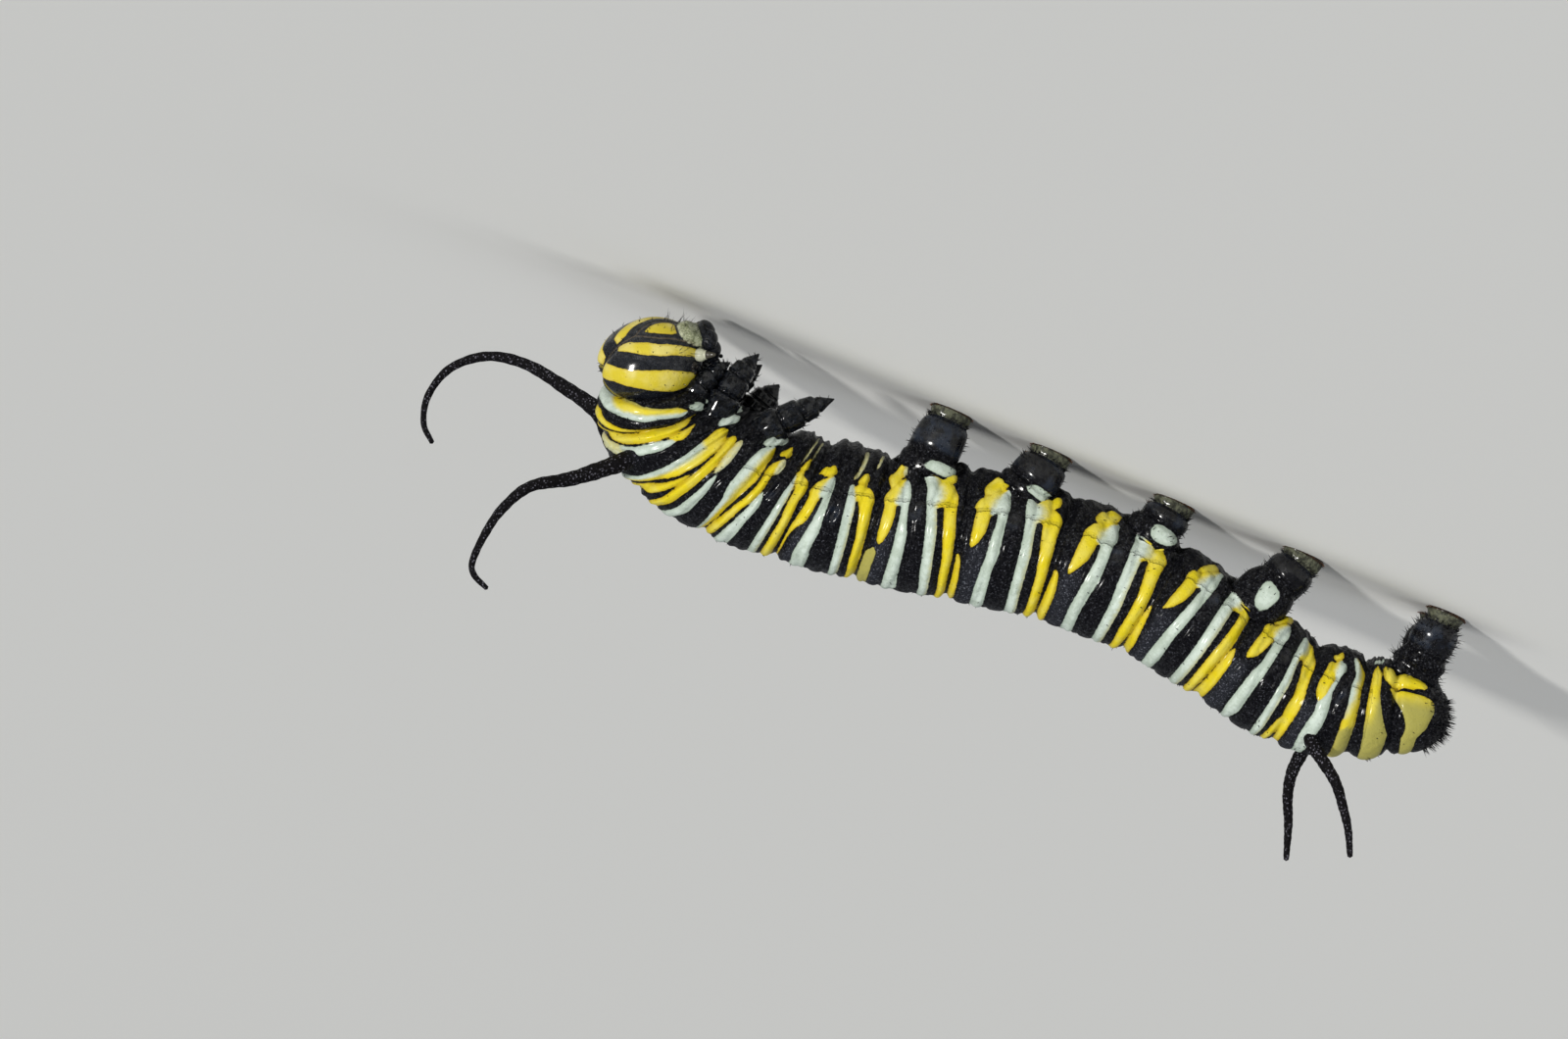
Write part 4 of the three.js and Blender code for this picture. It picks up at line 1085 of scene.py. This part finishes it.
# Hard black parts: colour, its lighter clouds (on the jaws and legs partly a painted bluish reflection),
# roughness, coat, and scale and height of the grain
shells = {
    "blackShell": ((0.004, 0.0045, 0.006), (0.016, 0.018, 0.025), 0.2, 0.4, 14, 0.014),
    "eyeGlass": ((0.012, 0.01, 0.009), (0.03, 0.024, 0.02), 0.1, 0.8, 30, 0.002),
    "legShell": ((0.002, 0.0022, 0.003), (0.007, 0.009, 0.014), 0.24, 1.0, 6, 0.1),
}


def shellPaint(name):
    colour, light, rough, coat, scale, height = shells[name]
    paint = Paint(name, Specular_IOR_Level=0.1, Coat_Roughness=0.08)
    place = paint.millimetres()
    fine = paint.noise(place, scale, 4, 0.6)
    broad = paint.noise(place, scale / 2, 3, 0.6)
    # Lighter clouds in the colour, partly a painted bluish reflection
    paint.feed("Base Color", paint.mix(paint.step(fine * 0.5 + broad * 0.5, 0.42, 0.68), colour, light))
    paint.feed("Roughness", (fine - 0.5) * 0.25 + rough)
    wet = paint.step(paint.noise(place, 3.5, 3, 0.6), 0.42, 0.56)
    paint.feed("Coat Weight", coat * (0.15 + 0.85 * wet))
    paint.bump(fine * height + broad * height * 2 + paint.cells(place, scale) * height * 0.6, 0.9)
    return paint.material


blackShell = shellPaint("blackShell")


# A ball on the head, squashed along the head's own axes and set in place
def headBall(shape, spot, size, around=24, down=16):
    made = bmesh.ops.create_uvsphere(shape, u_segments=around, v_segments=down, radius=1)
    turn = headTurn.to_4x4() @ Matrix.Diagonal((*size, 1))
    bmesh.ops.transform(shape, matrix=Matrix.Translation(Vector(spot)) @ turn, verts=made["verts"])


# Five of the six eyes of each side stand in an arc, and the sixth behind them
def makeEyes():
    shape = bmesh.new()
    for side in (-1, 1):
        for degrees in (-100, -52, -4, 44, 92, 165):
            turn = math.radians(degrees)
            spot = np.array([side * eyes["sideways"], eyes["down"] + eyes["high"] * math.sin(turn),
                             eyes["forwards"] + eyes["long"] * math.cos(turn)])
            headBall(shape, headPoints(unitOf(spot), -0.03), (head["eye"],) * 3, 20, 14)
    piece = makeObject("eyes", shape)
    finishPiece(piece, shellPaint("eyeGlass"), "head_shell")


makeEyes()

mouth = {
    "labrum": {"spot": (0, -0.94, 0.3, 0.4), "size": (0.76, 0.4, 0.46)},
    "jaw": {"spot": (0.18, -0.96, 0.06, 0.3), "size": (0.44, 0.48, 0.46)},
    "labium": {"spot": (0, -0.99, -0.12, 0.26), "size": (0.42, 0.3, 0.4)},
    "palp": ((0.12, 0.22), (0.32, 0.17), (0.5, 0.13), (0.64, 0.08)),  # how far out, and half size
    "notch": (0.22, 0.16),  # half width and depth of the notch in the upper lip
}
feeler = {
    "root": (0.47, -0.85, 0.22, -0.15), "tip": (0.5, -0.9, 0.2, 0.62), "ball": 0.26,
    "stalk": [(0, 0.18), (0.6, 0.18), (0.64, 0.14), (0.76, 0.13), (0.79, 0.1), (0.9, 0.09), (1, 0.05)],
    "pale": (0.5, 0.51, 0.38), "dark": (0.02, 0.017, 0.015), "clouds": (0.25, 0.23, 0.15),
}


def makeMouth():
    shape = bmesh.new()
    for name in ("labrum", "labium"):
        headBall(shape, headPoint(*mouth[name]["spot"]), mouth[name]["size"])
    left, crown, front, raised = mouth["jaw"]["spot"]
    for side in (-1, 1):
        headBall(shape, headPoint(side * left, crown, front, raised), mouth["jaw"]["size"])
        for i, (out, size) in enumerate(mouth["palp"]):
            spot = headPoint(side * (0.22 + 0.02 * i), -0.97, -0.12 - 0.04 * i, out)
            headBall(shape, spot, (size, size * 0.9, size), 16, 12)
    for i in range(5):
        size = 0.22 - 0.035 * i
        headBall(shape, headPoint(0, -0.98, -0.2 - 0.02 * i, 0.1 + 0.15 * i), (size, size, size), 16, 12)
    wide, deep = mouth["notch"]
    for vert in shape.verts:
        local = headTurn.transposed() @ (vert.co - Vector(headPoint(*mouth["labrum"]["spot"])))
        if local.y < 0 and abs(local.x) < wide and local.z > -0.3:
            vert.co += Vector(headCrown) * deep * (1 - abs(local.x) / wide)
    finishPiece(makeObject("jaws", shape), blackShell, "jaws", "mouthparts")


def feelerThick(t):
    ball = feeler["ball"] * np.sqrt(np.clip(1 - ((t - 0.3) / 0.31) ** 2, 0, 1))
    return np.maximum(ball, np.interp(t, *zip(*feeler["stalk"])))


def makeFeeler(side, word):
    (left, *root), (tipLeft, *tip) = feeler["root"], feeler["tip"]
    path = np.linspace(headPoint(side * left, *root), headPoint(side * tipLeft, *tip), 20)
    piece = makeTube(f"feeler_{word}", path, feelerThick, 24, 60)
    paint = Paint("feeler" + word, Roughness=0.35, Coat_Weight=0.2)
    down = paint.attribute("down")
    fine = paint.noise(paint.millimetres(), 12, 3)
    colour = paint.mix(paint.step(down, 0.58, 0.62), feeler["pale"], feeler["dark"])
    paint.feed("Base Color", paint.mix(fine * 0.3, colour, feeler["clouds"]))
    paint.bump(fine * 0.02)
    finishPiece(piece, paint.material, "jaws", f"antenna_{word}")


makeMouth()
makeFeeler(1, "left")
makeFeeler(-1, "right")
print("head made")

# True legs: coxa, femur, tibia, tarsus and claw swell in turn
legRoot = {
    "angle": 143, "sunk": 0.6, "knee": (0.28, 0.45), "joints": (0.36, 0.6, 0.79),
    "profile": [(0, 0.54), (0.3, 0.56), (0.4, 0.47), (0.58, 0.46), (0.66, 0.38), (0.76, 0.35),
                (0.82, 0.26), (0.9, 0.15), (1, 0.02)],
}
legs = [
    {"name": "leg_1_right", "at": 0.62, "claw": (0.85, -2.0, 1.6), "size": 0.98},
    {"name": "leg_1_left", "at": 0.55, "claw": (1.45, -0.7, 1.4), "size": 1.15},
    {"name": "leg_2_right", "at": 1.5, "claw": (-0.05, -1.75, 0.85), "size": 1.3},
    {"name": "leg_2_left", "at": 1.55, "claw": (-0.3, 0.35, 0.95), "size": 1.4},
    {"name": "leg_3_right", "at": 2.5, "claw": (-3.4, -1.6, 1.35), "size": 1.24},
    {"name": "leg_3_left", "at": 2.4, "claw": (-1.2, 0.85, 1.35), "size": 1.55},
]


def legCurve(leg):
    side = 1 if leg["name"].endswith("right") else -1
    root = trunkPoint(leg["at"], side * legRoot["angle"], -legRoot["sunk"])
    tip = np.array(leg["claw"], float)
    ahead, out = legRoot["knee"]
    knee = (root + tip) / 2 + np.array([ahead, -side * out, 0])
    return bezier(root, knee, tip, np.linspace(0, 1, 60))[0]


def legThick(size):
    def thick(t):
        shape = np.interp(t, *zip(*legRoot["profile"]))
        for joint in legRoot["joints"]:
            shape = shape - 0.12 * bell(t - joint, 0.022) * (1.2 - t)
        shape = shape + 0.03 * np.sin(t * 30) * np.clip(0.35 - t, 0, 1)
        return size * np.maximum(shape, 0.02)
    return thick


def makeLegs():
    shell = shellPaint("legShell")
    made = []
    for leg in legs:
        made.append(makeTube("true_" + leg["name"], legCurve(leg), legThick(leg["size"]), 28, 120))
        finishPiece(made[-1], shell, "leg_shell", leg["name"])
    return made


legPieces = makeLegs()
print("legs made")

# Filaments: soft, black and finely grained, each with a smooth swollen root
frontFilament = {"at": 1.48, "angle": 38, "thick": (0.78, 0.66, 0.46, 0.32, 0.2)}
rearFilament = {"at": 10.42, "angle": 38, "thick": (0.6, 0.54, 0.44, 0.34, 0.22)}
filaments = [
    {"name": "front_filament_right", "kind": frontFilament, "side": 1, "path": [
        (4.7, -3.1, 8.15), (6.1, -3.8, 9.15), (6.75, -4.2, 10.35), (7.0, -4.45, 11.5),
        (7.05, -4.65, 12.7), (6.8, -4.75, 13.2), (6.15, -4.75, 13.5)]},
    {"name": "front_filament_left", "kind": frontFilament, "side": -1, "path": [
        (4.9, 1.15, 5.0), (6.6, 1.75, 4.5), (8.3, 2.25, 4.2), (9.8, 2.6, 4.45),
        (10.95, 2.8, 5.4), (11.35, 2.85, 6.7), (11.1, 2.75, 7.8), (10.5, 2.6, 8.4)]},
    {"name": "rear_filament_right", "kind": rearFilament, "side": 1, "path": [
        (-26.8, -1.95, 7.75), (-27.45, -2.25, 8.6), (-27.95, -2.4, 9.35), (-28.4, -2.5, 10.3)]},
    {"name": "rear_filament_left", "kind": rearFilament, "side": -1, "path": [
        (-25.4, 1.65, 7.7), (-25.6, 1.95, 8.6), (-26.05, 2.2, 9.6), (-26.5, 2.4, 10.9)]},
]

filamentLook = {"black": (0.003, 0.0026, 0.0034), "speckle": (0.17, 0.165, 0.2),
                "root": (0.012, 0.014, 0.019), "rough": 0.6}


def filamentPaint():
    look = filamentLook
    paint = Paint("blackFilament", Specular_IOR_Level=0.1)
    place = paint.millimetres()
    grain = paint.cells(place, 9)
    fine = paint.noise(place, 13, 3, 0.8)
    root = 1 - paint.step(paint.attribute("down"), 0.03, 0.12)
    speckle = paint.step(fine * 0.6 + (1 - grain) * 0.4, 0.56, 0.72)
    colour = paint.mix(speckle, look["black"], look["speckle"])
    paint.feed("Base Color", paint.mix(root * 0.7, colour, look["root"]))
    paint.feed("Roughness", look["rough"] - root * 0.15)
    paint.bump((1 - grain) * 0.05 * (1 - root) + fine * 0.03, 1.0)
    return paint.material


def filamentThick(sizes):
    def thick(t):
        size = np.interp(t, (0, 0.2, 0.45, 0.75, 1), sizes) / 2 + 0.06 * bell(t, 0.07)
        return size * (1 + 0.03 * np.sin(t * 61) + 0.025 * np.sin(t * 143 + 1))
    return thick


def makeFilaments():
    material = filamentPaint()
    for filament in filaments:
        name, kind = filament["name"], filament["kind"]
        angle = filament["side"] * kind["angle"]
        root, start = (trunkPoint(kind["at"], angle, raised) for raised in (-0.5, 0.25))
        path = smoothPath([root, start, *filament["path"]], 300)
        piece = makeTube("soft_" + name, path, filamentThick(kind["thick"]), 28, 260, endRound=0.012)
        nodes = [name]
        if kind is frontFilament:
            nodes = [f"{name}_{word}" for word in ("root", "middle", "tip")]
        finishPiece(piece, material, "filament_skin", *nodes)


makeFilaments()
print("filaments made")

# Bristles: thin black cones on the skin, the legs and the head
bristles = {
    "thick": 0.02, "sunk": 0.08, "black": (0.006, 0.006, 0.008), "brown": (0.1, 0.04, 0.015),
    "skin": {  # how many, then the shortest and longest, and how far they lean back and down
        "tail": (340, 0.22, 0.42, 0.7, 0.0), "analProlegs": (520, 0.2, 0.42, 0.1, 0.3),
        "prolegs": (900, 0.12, 0.26, 0.1, 0.3), "fringe": (760, 0.2, 0.34, 0.0, 0.7),
        "hooks": (420, 0.07, 0.12, 0.0, 0.0), "body": (700, 0.07, 0.15, 0.8, 0.0),
    },
    "legs": (44, 0.12, 0.3, -0.4, 0.5), "head": (60, 0.08, 0.2, 0.0, 0.3),
    "face": (40, 0.3, 0.6, 0.1, 0.4),
}


def surfaceOf(piece):
    place = np.empty(len(piece.data.vertices) * 3, np.float32)
    out = np.empty_like(place)
    piece.data.vertices.foreach_get("co", place)
    piece.data.vertices.foreach_get("normal", out)
    return place.reshape(-1, 3), out.reshape(-1, 3)


# Grows groups of bristles; each one's patch of the OFBake map lies at its root's place on the unwrap
def growBristles(name, piece, groups, around, down, slot):
    place, out = surfaceOf(piece)
    shape = bmesh.new()
    patch = shape.loops.layers.uv.new("OFBake")
    brown = shape.verts.layers.float.new("brown")
    for kind, where, (count, short, long, back, low) in groups:
        for i in random.choices(list(np.flatnonzero(where)), k=count):
            length = random.uniform(short, long)
            lean = Vector([random.gauss(0, 0.22) for _ in range(3)]) + Vector((-back, 0, -low))
            ahead = (Vector(out[i]) + lean).normalized() * length * metre
            root = Vector(place[i])
            ahead.z = max(ahead.z, 0.015 * metre - root.z)
            turn = ahead.to_track_quat("Z", "Y").to_matrix().to_4x4()
            thick = bristles["thick"] * random.uniform(0.7, 1.2) * metre * (0.7 if kind == "face" else 1)
            middle = Matrix.Translation(root + ahead * (0.5 - bristles["sunk"]))
            made = bmesh.ops.create_cone(
                shape, cap_ends=True, segments=4, radius1=thick, radius2=0, depth=ahead.length,
                matrix=middle @ turn)["verts"]
            for n, vert in enumerate(made):
                vert[brown] = kind == "hooks"
                for loop in vert.link_loops:
                    loop[patch].uv = (around[i] + 0.0015 * (n % 2), down[i] + 0.0015 * (n // 2 % 2))
    bmesh.ops.recalc_face_normals(shape, faces=shape.faces)
    made = makeObject(name, shape, placed=True)
    paint = Paint(name + "Shine", Roughness=0.35, Specular_IOR_Level=0.3)
    colour = paint.mix(paint.attribute("brown"), bristles["black"], bristles["brown"])
    paint.feed("Base Color", colour)
    finishPiece(made, paint.material, slot)


def makeBristles():
    angle, low, s = np.abs(skinAt["around"] - 0.5) * 360, skinAt["low"], skinAt["s"]
    body, rear, shaft = low < 0, s > 11.3, (low > 0.02) & (low < 0.74)
    places = {
        "tail": body & (s > 12.62) & (angle < 140), "analProlegs": shaft & rear,
        "prolegs": shaft & ~rear, "fringe": (low > 0.72) & (low < 0.8),
        "hooks": (low > 0.93) & (low < 0.97), "body": body & (s > 0.3),
    }
    groups = [(kind, places[kind], look) for kind, look in bristles["skin"].items()]
    growBristles("skinBristles", skin, groups, skinAt["around"], skinAt["down"], "skin")
    for leg, piece in zip(legs, legPieces):
        around, down = (np.empty(len(piece.data.vertices), np.float32) for _ in range(2))
        piece.data.attributes["around"].data.foreach_get("value", around)
        piece.data.attributes["down"].data.foreach_get("value", down)
        groups = [("leg", (down > 0.3) & (down < 0.95), bristles["legs"])]
        growBristles(leg["name"] + "_bristles", piece, groups, around, down, "leg_shell")
    left, crown, front = headUnit.T
    groups = [("head", (crown > -0.6) & (front > -0.4), bristles["head"]),
              ("face", (crown < -0.45) & (front > 0.25), bristles["face"])]
    around = np.arctan2(left, crown) / (2 * math.pi) + 0.5
    down = np.arccos(np.clip(front, -1, 1)) / math.pi
    growBristles("headBristles", headPiece, groups, around, down, "head_shell")


makeBristles()
print("bristles made")

# Floor and light
stage = {"floor": 40, "floorColour": (0.72, 0.72, 0.7), "world": 0.2, "worldColour": (0.93, 0.96, 1)}
# Suns: the way to each, its strength, its spread in degrees and its colour
suns = {
    "keyLight": ((0.49, -0.82, 0.3), 2.7, 7, (1, 0.985, 0.95)),
    "fillLight": ((-0.6, -0.6, 0.5), 0.7, 40, (0.95, 0.98, 1)),
    "topLight": ((0.1, 0.3, 1), 0.85, 50, (1, 1, 1)),
}


def addStage():
    shape = bmesh.new()
    bmesh.ops.create_grid(shape, x_segments=1, y_segments=1, size=stage["floor"] / 2)
    mesh = bpy.data.meshes.new("floor")
    shape.to_mesh(mesh)
    shape.free()
    floor = bpy.data.objects.new("floor", mesh)
    bpy.context.scene.collection.objects.link(floor)
    paint = Paint("paleFloor", Roughness=0.8)
    paint.shader.inputs["Base Color"].default_value = (*stage["floorColour"], 1)
    mesh.materials.append(paint.material)
    world = bpy.data.worlds.new("studio")
    world.use_nodes = True
    background = world.node_tree.nodes["Background"]
    background.inputs["Color"].default_value = (*stage["worldColour"], 1)
    background.inputs["Strength"].default_value = stage["world"]
    bpy.context.scene.world = world


def addSuns():
    for name, (towards, strength, spread, colour) in suns.items():
        light = bpy.data.lights.new(name, "SUN")
        light.energy = strength
        light.angle = math.radians(spread)
        light.color = colour
        lamp = bpy.data.objects.new(name, light)
        # Only the key light shows in glossy surfaces, so that the black parts stay deep
        lamp.visible_glossy = name == "keyLight"
        lamp.rotation_euler = Vector(towards).to_track_quat("Z", "Y").to_euler()
        bpy.context.scene.collection.objects.link(lamp)


addStage()
addSuns()
bpy.context.scene.view_settings.view_transform = "Standard"
print("stage set")
